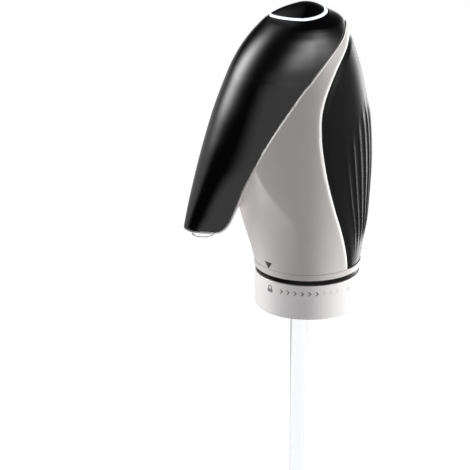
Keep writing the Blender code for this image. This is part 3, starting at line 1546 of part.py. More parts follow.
def make_usb_socket():
    middle = socket_height()
    half = SOCKET_WIDTH / 2
    back = socket_back()
    low = middle - SOCKET_HEIGHT / 2
    high = middle + SOCKET_HEIGHT / 2
    socket = box("usb_socket", (back - SOCKET_DEPTH, -half, low), (back, half, high), steel())
    mouth = box("socket_mouth", (back - SOCKET_DEPTH + SOCKET_WALL, SOCKET_WALL - half, low + SOCKET_WALL),
                (back + OVERRUN, half - SOCKET_WALL, high - SOCKET_WALL), steel())
    cut(socket, mouth)
    return socket


clear_scene()
PIECES = new_collection(PART_NAME)
CUTTERS = new_collection(PART_NAME + "_cutters")
make_beak_cover()
make_main_shell()
make_beak_underside()
make_rear_panel()
HEAD = make_head_empty()
make_light_ring(HEAD)
make_power_button(HEAD)
make_button_frame(HEAD)
make_button_board(HEAD)
make_tact_switch(HEAD)
make_switch_plunger(HEAD)
make_base_chassis()
make_base_ring()
make_seal_band()
make_lock_collar()
make_collar_retainer()
make_pressure_ring()
make_neck_seal_sleeve()
make_lip_gasket()
make_port_block()
make_tube_o_ring()
make_dip_tube_outer()
make_tube_guide()
make_dip_tube_inner()
make_tube_foot()
make_nozzle()
make_nozzle_seal()
make_aerator_chamber()
make_wine_hose()
make_air_hose()
make_inner_frame()
make_motor_can()
make_motor_end_cap()
make_motor_bracket()
make_pump_rotor()
make_pump_body()
make_pump_diaphragm()
make_pump_cover()
make_battery_cell()
make_battery_holder()
make_battery_contact("battery_contact_low", BATTERY_BASE_HEIGHT - GAP - CONTACT_THICKNESS)
make_battery_contact("battery_contact_high", battery_top() + GAP)
make_main_board()
make_charge_board()
make_usb_socket()
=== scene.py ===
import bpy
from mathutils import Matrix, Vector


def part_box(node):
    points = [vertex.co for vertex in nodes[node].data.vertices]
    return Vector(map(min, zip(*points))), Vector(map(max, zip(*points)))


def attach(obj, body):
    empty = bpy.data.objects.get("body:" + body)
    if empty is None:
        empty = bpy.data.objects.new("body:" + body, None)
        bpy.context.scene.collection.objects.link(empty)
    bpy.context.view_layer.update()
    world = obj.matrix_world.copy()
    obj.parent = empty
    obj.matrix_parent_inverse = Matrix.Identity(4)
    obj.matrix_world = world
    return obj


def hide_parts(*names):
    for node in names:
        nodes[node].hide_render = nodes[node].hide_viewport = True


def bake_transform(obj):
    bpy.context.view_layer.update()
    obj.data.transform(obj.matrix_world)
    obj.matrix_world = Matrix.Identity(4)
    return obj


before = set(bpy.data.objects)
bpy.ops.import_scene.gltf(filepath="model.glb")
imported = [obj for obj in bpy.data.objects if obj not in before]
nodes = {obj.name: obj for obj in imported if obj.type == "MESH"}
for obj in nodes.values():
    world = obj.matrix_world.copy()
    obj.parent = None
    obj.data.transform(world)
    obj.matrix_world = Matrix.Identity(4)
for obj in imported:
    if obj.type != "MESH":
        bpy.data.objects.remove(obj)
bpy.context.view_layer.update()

import math

import bmesh
import bpy
import numpy as np
from mathutils import Vector

scene = bpy.context.scene


# Camera: the photograph looks down at the aerator from some way off, with a long lens
photo = {"target": (-0.0332, 0.0, 0.0176), "pitch": 20.66, "distance": 1.300, "lens": 217.8, "sensor": 36.0}


# The camera stands back from its target along a line that rises at the pitch
def makeCamera():
    pitch = math.radians(photo["pitch"])
    data = bpy.data.cameras.new("photoCamera")
    data.lens = photo["lens"]
    data.sensor_width = photo["sensor"]
    camera = bpy.data.objects.new("photoCamera", data)
    back = Vector((0.0, -math.cos(pitch), math.sin(pitch)))
    camera.location = Vector(photo["target"]) + back * photo["distance"]
    camera.rotation_euler = (math.pi / 2 - pitch, 0.0, 0.0)
    scene.collection.objects.link(camera)
    scene.camera = camera


makeCamera()
scene.view_settings.view_transform = "Standard"
print("aerator: camera is set")


# One step of arithmetic in a node tree, between two sockets or numbers
def mathNode(tree, operation, first, second=0.0):
    node = tree.nodes.new("ShaderNodeMath")
    node.operation = operation
    for socket, value in zip(node.inputs, (first, second)):
        if isinstance(value, bpy.types.NodeSocket):
            tree.links.new(value, socket)
        else:
            socket.default_value = value
    return node.outputs[0]


# One where a ray comes from the camera or through a clear piece, nought elsewhere
def seenDirectly(tree):
    path = tree.nodes.new("ShaderNodeLightPath")
    return mathNode(tree, "MAXIMUM", path.outputs["Is Camera Ray"], path.outputs["Is Transmission Ray"])


# Studio: soft boxes as bright patches of the sky round the object. Each has its turn from the
# camera's side and its height in degrees, how far it spreads both ways, its strength, and the
# share of it that lights matt surfaces.
studio = {
    "ambient": 0.02,
    "boxes": {
        "leftStrip": (-99.0, 10.0, 11.5, 12.0, 6.4, 1.0),
        "leftTop": (-118.0, 44.0, 26.0, 11.0, 0.5, 1.0),
        "frontMain": (2.0, 14.0, 12.0, 9.0, 2.4, 0.2),
        "frontHigh": (29.0, 23.0, 22.0, 11.0, 2.2, 0.2),
        "frontLow": (-14.0, 3.0, 9.0, 6.0, 1.6, 0.2),
        "frontFill": (55.0, 5.0, 30.0, 12.0, 0.8, 0.2),
    },
    "ground": {"level": 0.47, "top": 6.0, "full": -8.0, "from": -100.0, "to": -34.0, "fade": 20.0,
               "glow": (139.0, -16.0, 15.0, 12.0, 4.0)},
    "lamps": {
        "right": {"turn": 79.0, "distance": 1.0, "height": -0.13, "width": 0.5, "tall": 0.28, "power": 13.0,
                  "shadow": True},
        "left": {"turn": -86.0, "distance": 1.0, "height": -0.13, "width": 0.3, "tall": 0.25, "power": 7.0,
                 "shadow": False},
    },
}


# Soft step along an angle in degrees: nought at its start and one at its end
def softStep(tree, angle, start, end):
    fade = tree.nodes.new("ShaderNodeMapRange")
    fade.interpolation_type = "SMOOTHSTEP"
    fade.inputs["From Min"].default_value = math.radians(start)
    fade.inputs["From Max"].default_value = math.radians(end)
    tree.links.new(angle, fade.inputs["Value"])
    return fade.outputs[0]


# Patch of sky: a bell curve of the distance from a direction, both ways in shares of a spread
def softPatch(tree, turn, rise, turnAt, riseAt, turnSpread, riseSpread):
    across = mathNode(tree, "SUBTRACT", turn, math.radians(turnAt))
    across = mathNode(tree, "DIVIDE", across, math.radians(turnSpread))
    upward = mathNode(tree, "SUBTRACT", rise, math.radians(riseAt))
    upward = mathNode(tree, "DIVIDE", upward, math.radians(riseSpread))
    square = mathNode(tree, "ADD", mathNode(tree, "MULTIPLY", across, across),
                      mathNode(tree, "MULTIPLY", upward, upward))
    return mathNode(tree, "EXPONENT", mathNode(tree, "MULTIPLY", square, -0.5))


# What mirrored rays meet below the horizon in place of the floor: an even level with a dark
# stretch at the left, and a bright patch at the right
def groundGlow(tree, turn, rise, low):
    ground = studio["ground"]
    dark = mathNode(tree, "MULTIPLY", softStep(tree, turn, ground["to"], ground["to"] - ground["fade"]),
                    softStep(tree, turn, ground["from"], ground["from"] + ground["fade"]))
    level = mathNode(tree, "MULTIPLY", low, ground["level"])
    level = mathNode(tree, "MULTIPLY", level, mathNode(tree, "SUBTRACT", 1.0, dark))
    *place, strength = ground["glow"]
    patch = mathNode(tree, "MULTIPLY", softPatch(tree, turn, rise, *place), strength)
    return mathNode(tree, "ADD", level, patch)


# World: the boxes above the horizon, the ground's glow below it, and plain white for the camera
def makeStudio():
    world = bpy.data.worlds.new("studio")
    scene.world = world
    world.use_nodes = True
    tree = world.node_tree
    place = tree.nodes.new("ShaderNodeTexCoord")
    split = tree.nodes.new("ShaderNodeSeparateXYZ")
    tree.links.new(place.outputs["Generated"], split.inputs[0])
    turn = mathNode(tree, "ARCTAN2", split.outputs["X"], mathNode(tree, "MULTIPLY", split.outputs["Y"], -1.0))
    rise = mathNode(tree, "ARCSINE", split.outputs["Z"])
    total = studio["ambient"]
    mirrored = tree.nodes.new("ShaderNodeLightPath").outputs["Is Glossy Ray"]
    for *box, strength, matt in studio["boxes"].values():
        patch = softPatch(tree, turn, rise, *box)
        level = mathNode(tree, "MULTIPLY", mirrored, strength * (1 - matt))
        level = mathNode(tree, "ADD", level, strength * matt)
        total = mathNode(tree, "ADD", mathNode(tree, "MULTIPLY", patch, level), total)
    low = softStep(tree, rise, studio["ground"]["top"], studio["ground"]["full"])
    total = mathNode(tree, "MULTIPLY", total, mathNode(tree, "SUBTRACT", 1.0, low))
    glow = mathNode(tree, "MULTIPLY", groundGlow(tree, turn, rise, low), mirrored)
    total = mathNode(tree, "ADD", glow, total)
    seen = seenDirectly(tree)
    hidden = mathNode(tree, "SUBTRACT", 1.0, seen)
    strength = mathNode(tree, "ADD", mathNode(tree, "MULTIPLY", total, hidden), seen)
    tree.links.new(strength, tree.nodes["Background"].inputs["Strength"])
    tree.nodes["Background"].inputs["Color"].default_value = (1.0, 1.0, 1.0, 1.0)


makeStudio()


# Soft lamp on a circle round the object, turned to its middle. It lights matt surfaces only.
def makeLamp(name, lamp):
    data = bpy.data.lights.new(name, "AREA")
    data.shape = "RECTANGLE"
    data.size = lamp["width"]
    data.size_y = lamp["tall"]
    data.energy = lamp["power"]
    data.use_shadow = lamp["shadow"]
    light = bpy.data.objects.new(name, data)
    turn = math.radians(lamp["turn"])
    away = lamp["distance"]
    light.location = (away * math.sin(turn), -away * math.cos(turn), lamp["height"])
    light.rotation_euler = (math.pi / 2, 0.0, turn)
    light.visible_camera = False
    light.visible_glossy = False
    scene.collection.objects.link(light)


for side, lamp in studio["lamps"].items():
    makeLamp(side + "Lamp", lamp)


# Corner numbers of the quads of a grid, row by row
def gridFaces(rows, columns):
    index = np.arange(rows * columns).reshape(rows, columns)
    return np.stack((index[:-1, :-1], index[:-1, 1:], index[1:, 1:], index[1:, :-1]), -1).reshape(-1, 4)


floorSheet = {"halfWidth": 6.0, "front": -4.5, "bend": 3.5, "radius": 1.5, "top": 3.0, "arcSteps": 25,
              "colour": 0.28, "roughness": 0.9, "lift": 0.93}


# Floor and backdrop in one sheet: flat, then a quarter circle up, then upright
def makeFloor():
    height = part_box("tube_foot")[0].z
    bend = floorSheet["bend"]
    radius = floorSheet["radius"]
    arc = np.linspace(0.0, math.pi / 2, floorSheet["arcSteps"])
    along = np.concatenate(([floorSheet["front"]], bend + radius * np.sin(arc), [bend + radius]))
    up = np.concatenate(([0.0], radius * (1 - np.cos(arc)), [floorSheet["top"]])) + height
    across = np.linspace(-1.0, 1.0, 2) * floorSheet["halfWidth"]
    points = np.stack(np.broadcast_arrays(across[None, :], along[:, None], up[:, None]), -1)
    mesh = bpy.data.meshes.new("floor")
    mesh.from_pydata(points.reshape(-1, 3).tolist(), [], gridFaces(*points.shape[:2]).tolist())
    mesh.shade_smooth()
    floor = bpy.data.objects.new("floor", mesh)
    scene.collection.objects.link(floor)
    material = bpy.data.materials.new("paleFloor")
    material.use_nodes = True
    tree = material.node_tree
    shader = tree.nodes["Principled BSDF"]
    shader.inputs["Base Color"].default_value = (floorSheet["colour"],) * 3 + (1.0,)
    shader.inputs["Roughness"].default_value = floorSheet["roughness"]
    shader.inputs["Specular IOR Level"].default_value = 0.0
    shader.inputs["Emission Color"].default_value = (1.0, 1.0, 1.0, 1.0)
    lift = mathNode(tree, "MULTIPLY", seenDirectly(tree), floorSheet["lift"])
    tree.links.new(lift, shader.inputs["Emission Strength"])
    mesh.materials.append(material)
    floor.visible_glossy = False


makeFloor()
print("aerator: studio and floor are set")


# Finish: a colour that varies a little, a roughness that does too, and a fine grain as bump
def finish(name, colour, roughness, tint=0.03, sheenSpread=0.04, patch=90.0, grain=2500.0, bump=2e-6,
           stretch=(1.0, 1.0, 1.0), **sockets):
    material = bpy.data.materials.new(name)
    material.use_nodes = True
    tree = material.node_tree
    shader = tree.nodes["Principled BSDF"]
    for socket, value in sockets.items():
        shader.inputs[socket.replace("_", " ")].default_value = value
    place = tree.nodes.new("ShaderNodeTexCoord")
    mapping = tree.nodes.new("ShaderNodeMapping")
    mapping.inputs["Scale"].default_value = stretch
    tree.links.new(place.outputs["Object"], mapping.inputs["Vector"])
    clouds = noiseNode(tree, mapping.outputs[0], patch, 3.0)
    fine = noiseNode(tree, mapping.outputs[0], grain, 2.0)
    mix = tree.nodes.new("ShaderNodeMix")
    mix.data_type = "RGBA"
    mix.inputs["A"].default_value = (*(channel * (1 - tint) for channel in colour), 1.0)
    mix.inputs["B"].default_value = (*(min(channel * (1 + tint), 1.0) for channel in colour), 1.0)
    tree.links.new(clouds, mix.inputs["Factor"])
    tree.links.new(mix.outputs["Result"], shader.inputs["Base Color"])
    ranged = tree.nodes.new("ShaderNodeMapRange")
    ranged.inputs["To Min"].default_value = max(roughness - sheenSpread, 0.0)
    ranged.inputs["To Max"].default_value = roughness + sheenSpread
    tree.links.new(clouds, ranged.inputs["Value"])
    tree.links.new(ranged.outputs[0], shader.inputs["Roughness"])
    if bump > 0.0:
        bumps = tree.nodes.new("ShaderNodeBump")
        bumps.inputs["Distance"].default_value = bump
        tree.links.new(fine, bumps.inputs["Height"])
        tree.links.new(bumps.outputs[0], shader.inputs["Normal"])
    return material


# Noise on a place, as a value between nought and one
def noiseNode(tree, vector, scale, detail):
    noise = tree.nodes.new("ShaderNodeTexNoise")
    noise.inputs["Scale"].default_value = scale
    noise.inputs["Detail"].default_value = detail
    tree.links.new(vector, noise.inputs["Vector"])
    return noise.outputs["Fac"]


finishes = {
    "glossBlack": finish("glossBlack", (0.0018, 0.0018, 0.0022), 0.13, sheenSpread=0.012, patch=60.0,
                         bump=3e-7, IOR=1.8),
    "buttonBlack": finish("buttonBlack", (0.0018, 0.0018, 0.0035), 0.08, sheenSpread=0.012, bump=2e-7,
                          IOR=1.5),
    "satinBlack": finish("satinBlack", (0.0045, 0.0047, 0.0052), 0.26, sheenSpread=0.03, grain=3800.0,
                         bump=3e-6, IOR=1.33),
    "pearl": finish("pearl", (0.64, 0.610, 0.602), 0.30, tint=0.02, grain=5200.0, bump=1e-6,
                    Metallic=0.08, Coat_Weight=0.2, Coat_Roughness=0.2),
    # Lighter copy of the pearl for the beads and the beak's underside: a painted highlight along the hood's
    # edge
    "pearlPaintedHighlight": finish("pearlPaintedHighlight", (0.97, 0.95, 0.94), 0.28, tint=0.01, bump=5e-7, Metallic=0.85),
    # Lighter white for the shell's faces along the panel: a painted highlight on its rolled edge
    "lipPaintedHighlight": finish("lipPaintedHighlight", (0.95, 0.925, 0.915), 0.26, tint=0.01, bump=5e-7),
    "collarWhite": finish("collarWhite", (0.90, 0.875, 0.875), 0.34, tint=0.015, grain=3600.0, bump=1.5e-6,
                          Metallic=0.15),
    "bandBlack": finish("bandBlack", (0.003, 0.003, 0.0032), 0.30, grain=4200.0, bump=2e-6, IOR=1.3),
    "rubber": finish("rubber", (0.012, 0.012, 0.013), 0.42, grain=4200.0, bump=4e-6),
    "silicone": finish("silicone", (0.62, 0.63, 0.63), 0.5, grain=3000.0, bump=3e-6, Subsurface_Weight=0.2,
                       Subsurface_Scale=0.001),
    "greyPlastic": finish("greyPlastic", (0.20, 0.205, 0.21), 0.45, grain=2600.0, bump=5e-6),
    "whitePlastic": finish("whitePlastic", (0.72, 0.72, 0.70), 0.40, grain=2600.0, bump=4e-6),
    "steel": finish("steel", (0.60, 0.60, 0.61), 0.26, sheenSpread=0.06, stretch=(1.0, 1.0, 18.0),
                    grain=900.0, bump=2e-6, Metallic=1.0),
    "copper": finish("copper", (0.80, 0.55, 0.30), 0.25, Metallic=1.0),
    "board": finish("board", (0.014, 0.115, 0.05), 0.38, tint=0.35, patch=700.0, grain=1800.0, bump=2e-5),
    "batteryWrap": finish("batteryWrap", (0.03, 0.12, 0.36), 0.33, grain=1500.0, bump=4e-6),
    "clear": finish("clear", (0.96, 0.975, 0.98), 0.06, tint=0.01, sheenSpread=0.03, grain=1500.0, bump=3e-6,
                    Transmission_Weight=1.0, IOR=1.45),
    "darkInk": finish("darkInk", (0.055, 0.05, 0.05), 0.5),
    "greyInk": finish("greyInk", (0.055, 0.05, 0.052), 0.5),
    "lockInk": finish("lockInk", (0.23, 0.215, 0.22), 0.5),
    # Pale ink for the last chevrons and the open padlock: dark print painted over with the highlight that
    # washes it out
    "paintedHighlightInk": finish("paintedHighlightInk", (0.70, 0.68, 0.68), 0.5),
}


lit = {"colour": (0.80, 0.84, 1.0), "roughness": 0.25, "glow": (0.84, 0.89, 1.0, 1.0), "strength": 1.0}


# Finish of the ring that is lit from behind
def litMaterial():
    material = finish("litRing", lit["colour"], lit["roughness"], tint=0.01)
    shader = material.node_tree.nodes["Principled BSDF"]
    shader.inputs["Emission Color"].default_value = lit["glow"]
    shader.inputs["Emission Strength"].default_value = lit["strength"]
    return material


finishes["lit"] = litMaterial()


# Distances within which points are one, an edge is nothing, and a point lies on the middle plane.
# Then the values so small that they only stand in for nothing, such as below a division.
joining = {"near": 2e-7, "tiny": 1e-8, "middle": 1e-7}
least = {"axis": 1e-9, "square": 1e-18, "length": 1e-12, "ease": 1e-6, "turn": 1e-6}


# Mesh from points and faces: near points joined, faces outward, smooth up to a sharp angle
def addPiece(name, points, faces, material, body, stands=(), sharp=38.0):
    mesh = bpy.data.meshes.new(name)
    mesh.from_pydata(points.reshape(-1, 3).tolist(), [], [list(face) for face in faces])
    shape = bmesh.new()
    shape.from_mesh(mesh)
    bmesh.ops.remove_doubles(shape, verts=shape.verts[:], dist=joining["near"])
    bmesh.ops.dissolve_degenerate(shape, edges=shape.edges[:], dist=joining["tiny"])
    if shape.calc_volume(signed=True) < 0.0:
        bmesh.ops.reverse_faces(shape, faces=shape.faces[:])
    shape.to_mesh(mesh)
    shape.free()
    mesh.shade_smooth()
    mesh.set_sharp_from_angle(angle=math.radians(sharp))
    mesh.materials.append(finishes[material])
    piece = bpy.data.objects.new(name, mesh)
    scene.collection.objects.link(piece)
    return settle(piece, body, stands)


# A piece rides its body, if it has a single one, and stands for its solids
def settle(piece, body, stands=()):
    if body:
        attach(piece, body)
    if stands:
        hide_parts(*stands)
    return piece


# Quads of a solid between two like grids: both grids, and a wall along their border apart from the
# stretches that lie on the middle plane
def slabFaces(rows, columns, onMiddle):
    count = rows * columns
    quads = gridFaces(rows, columns)
    index = np.arange(count).reshape(rows, columns)
    loop = np.concatenate((index[0, :-1], index[:-1, -1], index[-1, :0:-1], index[:0:-1, 0]))
    following = np.roll(loop, -1)
    walls = np.stack((following, loop, loop + count, following + count), -1)
    return np.concatenate((quads, quads[:, ::-1] + count, walls[~(onMiddle[loop] & onMiddle[following])]))


# Quads between rings of points, with the last ring joined to the first where the form is closed
def ringFaces(rings, steps, closed=True):
    index = np.arange(rings * steps).reshape(rings, steps)
    beside = np.roll(index, -1, 1)
    faces = np.stack((index, beside, np.roll(beside, -1, 0), np.roll(index, -1, 0)), -1)
    return (faces if closed else faces[:-1]).reshape(-1, 4)


# Faces of an open row of rings: the quads between them, and one face on each end
def tubeFaces(rings, steps):
    end = np.arange(steps)
    return [*ringFaces(rings, steps, closed=False).tolist(), end[::-1].tolist(),
            (end + (rings - 1) * steps).tolist()]


# A closed wall from one half of it: an outer grid and the grid behind it, and the same again on the
# other side of the middle plane
def addMirrored(name, outer, inner, material, body, stands=()):
    flat = outer.reshape(-1, 3)
    half = slabFaces(*outer.shape[:2], np.abs(flat[:, 1]) <= joining["middle"])
    solid = np.concatenate((flat, inner.reshape(-1, 3)))
    points = np.concatenate((solid, solid * (1.0, -1.0, 1.0)))
    faces = np.concatenate((half, half[:, ::-1] + len(solid)))
    return addPiece(name, points, faces, material, body, stands)


# A closed profile of radius and height carried round an upright axis
def addTurned(name, profile, material, body, stands=(), centre=(0.0, 0.0), steps=128, squeeze=1.0):
    profile = np.array(profile)
    turn = np.linspace(0.0, math.tau, steps, endpoint=False)
    radius = profile[:, 0][:, None]
    grid = np.stack((centre[0] + radius * np.cos(turn) * squeeze, centre[1] + radius * np.sin(turn),
                     profile[:, 1][:, None] + 0.0 * turn), -1)
    return addPiece(name, grid, ringFaces(len(profile), steps), material, body, stands)


# A profile with each corner, apart from those on the axis, turned into a quadratic curve that takes
# at most a share of the shorter side beside it
def rounded(profile, radius, steps=4, most=0.45):
    profile = np.array(profile, float)
    before = np.roll(profile, 1, 0) - profile
    after = np.roll(profile, -1, 0) - profile
    reach = np.minimum(np.linalg.norm(before, axis=1), np.linalg.norm(after, axis=1)) * most
    reach = np.where(profile[:, 0] <= least["axis"], 0.0, np.minimum(reach, radius))[:, None]
    start = profile + before / np.linalg.norm(before, axis=1, keepdims=True) * reach
    end = profile + after / np.linalg.norm(after, axis=1, keepdims=True) * reach
    part = np.linspace(0.0, 1.0, steps + 1)[None, :, None]
    curve = start[:, None] * (1 - part) ** 2 + 2 * profile[:, None] * part * (1 - part)
    return (curve + end[:, None] * part ** 2).reshape(-1, 2)


# Shortest distance from points to a line through many points: its nearest point, then the
# two stretches beside that
def distanceToLine(points, line, lot=1500):
    flat = points.reshape(-1, 3)
    parts = np.array_split(flat, max(len(flat) // lot, 1))  # in lots, to spare memory
    nearest = np.concatenate([np.argmin(((part[:, None] - line[None]) ** 2).sum(-1), 1) for part in parts])
    best = np.full(len(flat), np.inf)
    for shift in (-1, 0):
        first = np.clip(nearest + shift, 0, len(line) - 2)
        start = line[first]
        run = line[first + 1] - start
        square = np.maximum((run * run).sum(-1), least["square"])
        share = np.clip(((flat - start) * run).sum(-1) / square, 0.0, 1.0)
        best = np.minimum(best, np.linalg.norm(flat - start - run * share[:, None], axis=-1))
    return best.reshape(points.shape[:-1])


# How far a rounded edge falls away at a distance from it: a quarter ellipse
def edgeFall(distance, width, depth):
    share = np.clip(1 - distance / width, 0.0, 1.0)
    return depth * (1 - np.sqrt(1 - share ** 2))


# The casing's curves. Each table pairs a share of the casing's height with a share of a reach.
casing = {
    "bottom": 0.0071, "crown": 0.1276, "beak": 0.0566, "back": 0.02864, "half": 0.02448, "gap": 0.0003,
    "ridge": ((0.124, 1.000), (0.212, 0.965), (0.309, 0.920), (0.404, 0.872), (0.499, 0.818), (0.593, 0.759),
              (0.687, 0.688), (0.781, 0.606), (0.837, 0.539), (0.887, 0.461), (0.920, 0.398), (0.933, 0.371)),
    "front": ((0.000, 0.431), (0.055, 0.460), (0.132, 0.512), (0.217, 0.565), (0.252, 0.599), (0.290, 0.636),
              (0.339, 0.687), (0.408, 0.737), (0.480, 0.770), (0.539, 0.779), (0.593, 0.759), (0.687, 0.688),
              (0.781, 0.606), (0.837, 0.539), (0.887, 0.461), (0.920, 0.398), (0.933, 0.371)),
    "rear": ((0.000, 0.852), (0.066, 0.895), (0.157, 0.941), (0.256, 0.974), (0.402, 1.000), (0.495, 0.990),
             (0.588, 0.956), (0.677, 0.894), (0.761, 0.817), (0.830, 0.729), (0.879, 0.656), (0.919, 0.579),
             (0.933, 0.541)),
    "side": ((0.000, 0.978), (0.107, 0.992), (0.273, 1.000), (0.439, 1.000), (0.563, 0.984), (0.646, 0.963),
             (0.746, 0.931), (0.812, 0.894), (0.871, 0.837), (0.904, 0.788), (0.920, 0.751), (0.933, 0.718)),
    "throat": ((0.000, 0.431), (0.055, 0.460), (0.132, 0.512), (0.217, 0.565), (0.252, 0.583), (0.290, 0.590),
               (0.339, 0.588), (0.408, 0.583)),
    "crease": ((0.000, 0.053), (0.132, 0.088), (0.217, 0.145), (0.244, 0.189), (0.281, 0.265), (0.331, 0.346),
               (0.373, 0.401), (0.408, 0.442)),
    "rim": ((0.928, 1.000), (0.919, 0.873), (0.903, 0.809), (0.870, 0.699), (0.830, 0.613), (0.789, 0.548),
            (0.746, 0.496), (0.655, 0.434), (0.560, 0.384), (0.461, 0.329), (0.408, 0.296)),
    "panel": ((0.885, 1.000), (0.879, 0.907), (0.846, 0.803), (0.800, 0.705), (0.720, 0.618), (0.633, 0.572),
              (0.542, 0.565), (0.449, 0.578), (0.353, 0.604), (0.256, 0.643), (0.157, 0.695), (0.048, 0.752),
              (0.000, 0.773)),
    "beakEdge": ((0.356, 0.488, 0.710), (0.306, 0.532, 0.620), (0.253, 0.572, 0.535), (0.202, 0.611, 0.461),
                 (0.165, 0.642, 0.402), (0.145, 0.669, 0.375), (0.131, 0.705, 0.355)),
    "mouthHeight": 0.0221, "mouthLength": 0.0141, "mouthHalfWidth": 0.0083,
}


# Height at a share of the casing's height, and the share at a height
def levelAt(share):
    return casing["bottom"] + np.asarray(share) * (casing["crown"] - casing["bottom"])


def shareAt(height):
    return (height - casing["bottom"]) / (casing["crown"] - casing["bottom"])


# Eased step: nought below nought, one above one, level at both ends
def smoothStep(share):
    share = np.clip(share, 0.0, 1.0)
    return share * share * (3 - 2 * share)


# Cubic pieces through the values, with the slope at each station taken from its neighbours
def smoothCurve(stations, values):
    stations = np.asarray(stations, float)
    values = np.asarray(values, float)
    slopes = np.gradient(values, stations, axis=0)

    def read(at):
        at = np.clip(np.asarray(at, float), stations[0], stations[-1])
        left = np.clip(np.searchsorted(stations, at, side="right") - 1, 0, len(stations) - 2)
        span = stations[left + 1] - stations[left]
        part = (at - stations[left]) / span
        if values.ndim > 1:
            span = span[..., None]
            part = part[..., None]
        start = values[left] * (1 + 2 * part) * (1 - part) ** 2
        end = values[left + 1] * part ** 2 * (3 - 2 * part)
        bend = span * part * (1 - part) * (slopes[left] * (1 - part) - slopes[left + 1] * part)
        return start + end + bend

    return read


# Smooth curve through a table, as a reach that follows from the height
def reachCurve(table, reach):
    table = np.array(casing[table])
    return smoothCurve(levelAt(table[:, 0]), table[:, 1] * casing[reach])


ridgeReach = reachCurve("ridge", "beak")
frontReach = reachCurve("front", "beak")
rearReach = reachCurve("rear", "back")
sideReach = reachCurve("side", "half")
throatReach = reachCurve("throat", "beak")
creaseReach = reachCurve("crease", "beak")


# Throat: the rounded form under the beak and the crease where it meets the egg, in shares of height
throatForm = {"footPower": 2.0, "power": 1.4, "rise": 0.25, "ease": 0.0003, "easeFrom": 0.217,
              "easeRun": 0.12, "easeLoss": 0.6, "lossFrom": 0.33, "lossRun": 0.08, "top": 0.43, "turn": 1.4,
              "least": 0.01}


# Power of the throat's rounded form: two for an ellipse at the foot, less above, so that its
# flanks are flatter and turn away from the crease
def throatPower(height):
    low = throatForm["footPower"]
    return low + (throatForm["power"] - low) * smoothStep(shareAt(height) / throatForm["rise"])


# Half-width of the throat's rounded form, which meets the egg at the crease
def throatWidth(height):
    crease = creaseReach(height)
    rest = np.maximum(1 - (crease / frontReach(height)) ** 2, throatForm["least"])
    side = sideReach(height) * np.sqrt(rest)
    power = throatPower(height)
    return side / (1 - (crease / throatReach(height)) ** power) ** (1 / power)


# Vectors divided by their lengths
def unit(vectors):
    return vectors / np.maximum(np.linalg.norm(vectors, axis=-1, keepdims=True), least["length"])


# Casing at a turn and a height: a half ellipse in front and another behind
def eggPoint(turn, height):
    reach = np.where(turn <= math.pi / 2, frontReach(height), rearReach(height))
    return np.stack((-reach * np.cos(turn), -sideReach(height) * np.sin(turn), height + 0.0 * turn), -1)


# Casing in a plain direction from the upright axis: the nearer of the egg and the throat's
# rounded form, eased into each other where they cross
def skinPoint(angle, height):
    cosine = np.cos(angle)
    sine = np.sin(angle)
    reach = np.where(angle <= math.pi / 2, frontReach(height), rearReach(height))
    egg = 1 / np.sqrt((cosine / reach) ** 2 + (sine / sideReach(height)) ** 2)
    power = throatPower(height)
    near = np.abs(cosine / throatReach(height)) ** power + np.abs(sine / throatWidth(height)) ** power
    near = near ** (-1 / power)
    share = shareAt(height)
    loss = throatForm["easeLoss"] * smoothStep((share - throatForm["lossFrom"]) / throatForm["lossRun"])
    gain = smoothStep((share - throatForm["easeFrom"]) / throatForm["easeRun"])
    ease = np.maximum(throatForm["ease"] * gain * (1 - loss), least["ease"])
    part = np.clip(0.5 + 0.5 * (near - egg) / ease, 0.0, 1.0)
    eased = near + (egg - near) * part - ease * part * (1 - part)
    radius = np.where((angle < throatForm["turn"]) & (share < throatForm["top"]), eased, egg)
    return np.stack((-radius * cosine, -radius * sine, height + 0.0 * angle), -1)


# An edge on the casing from its table, as turns and heights at even shares of its length. Its
# mirror image is added at the middle plane, where it crosses at a right angle.
def edgeCurve(table):
    table = np.array(casing[table])
    turns = table[:, 1] * math.pi
    heights = levelAt(table[:, 0])
    turns = np.concatenate(([math.tau - turns[1]], turns))
    heights = np.concatenate(([heights[1]], heights))
    steps = np.hypot(np.diff(turns) * casing["half"], np.diff(heights))
    stations = np.concatenate(([0.0], np.cumsum(steps))) - steps[0]
    readPair = smoothCurve(stations, np.stack((turns, heights), -1))

    def read(share):
        pair = readPair(np.asarray(share) * stations[-1])
        return np.where(np.asarray(share) <= 0.0, math.pi, pair[..., 0]), pair[..., 1]

    return read


rimEdge = edgeCurve("rim")
panelEdge = edgeCurve("panel")


# Normals of a grid of points, from the slopes along its rows and columns
def gridNormals(points):
    return unit(np.cross(np.gradient(points, axis=1), -np.gradient(points, axis=0)))


# Points of an edge on the casing, moved over its skin away from the edge's left side
def movedEdge(turns, heights, distance, step=1e-4):
    points = eggPoint(turns, heights)
    tangents = np.gradient(points, axis=0)
    middle = np.abs(np.sin(turns)) < least["turn"]
    tangents[middle] *= (0.0, 1.0, 0.0)
    along = eggPoint(turns + step, heights) - eggPoint(turns - step, heights)
    upward = eggPoint(turns, heights + step / 10) - eggPoint(turns, heights - step / 10)
    normals = unit(np.cross(along, upward))
    normals[middle, 1] = 0.0
    moved = points + unit(np.cross(unit(normals), unit(tangents))) * distance
    moved[middle, 1] = 0.0
    return moved


# Lower edge of the beak, from the cheek to the mouth: reach, height and half-width
def beakEdge(shares):
    turn, height = rimEdge(1.0)
    cheek = eggPoint(turn, height)
    table = np.array(casing["beakEdge"])
    rows = np.stack((table[:, 1] * casing["beak"], levelAt(table[:, 0]), table[:, 2] * casing["half"]), -1)
    last = (casing["beak"] - casing["mouthLength"], casing["mouthHeight"], casing["mouthHalfWidth"])
    rows = np.concatenate(([(-cheek[0], cheek[2], -cheek[1])], rows, [last]))
    steps = np.hypot(np.diff(rows[:, 0]), np.diff(rows[:, 1]))
    stations = np.concatenate(([0.0], np.cumsum(steps)))
    return smoothCurve(stations, rows)(np.asarray(shares) * stations[-1])


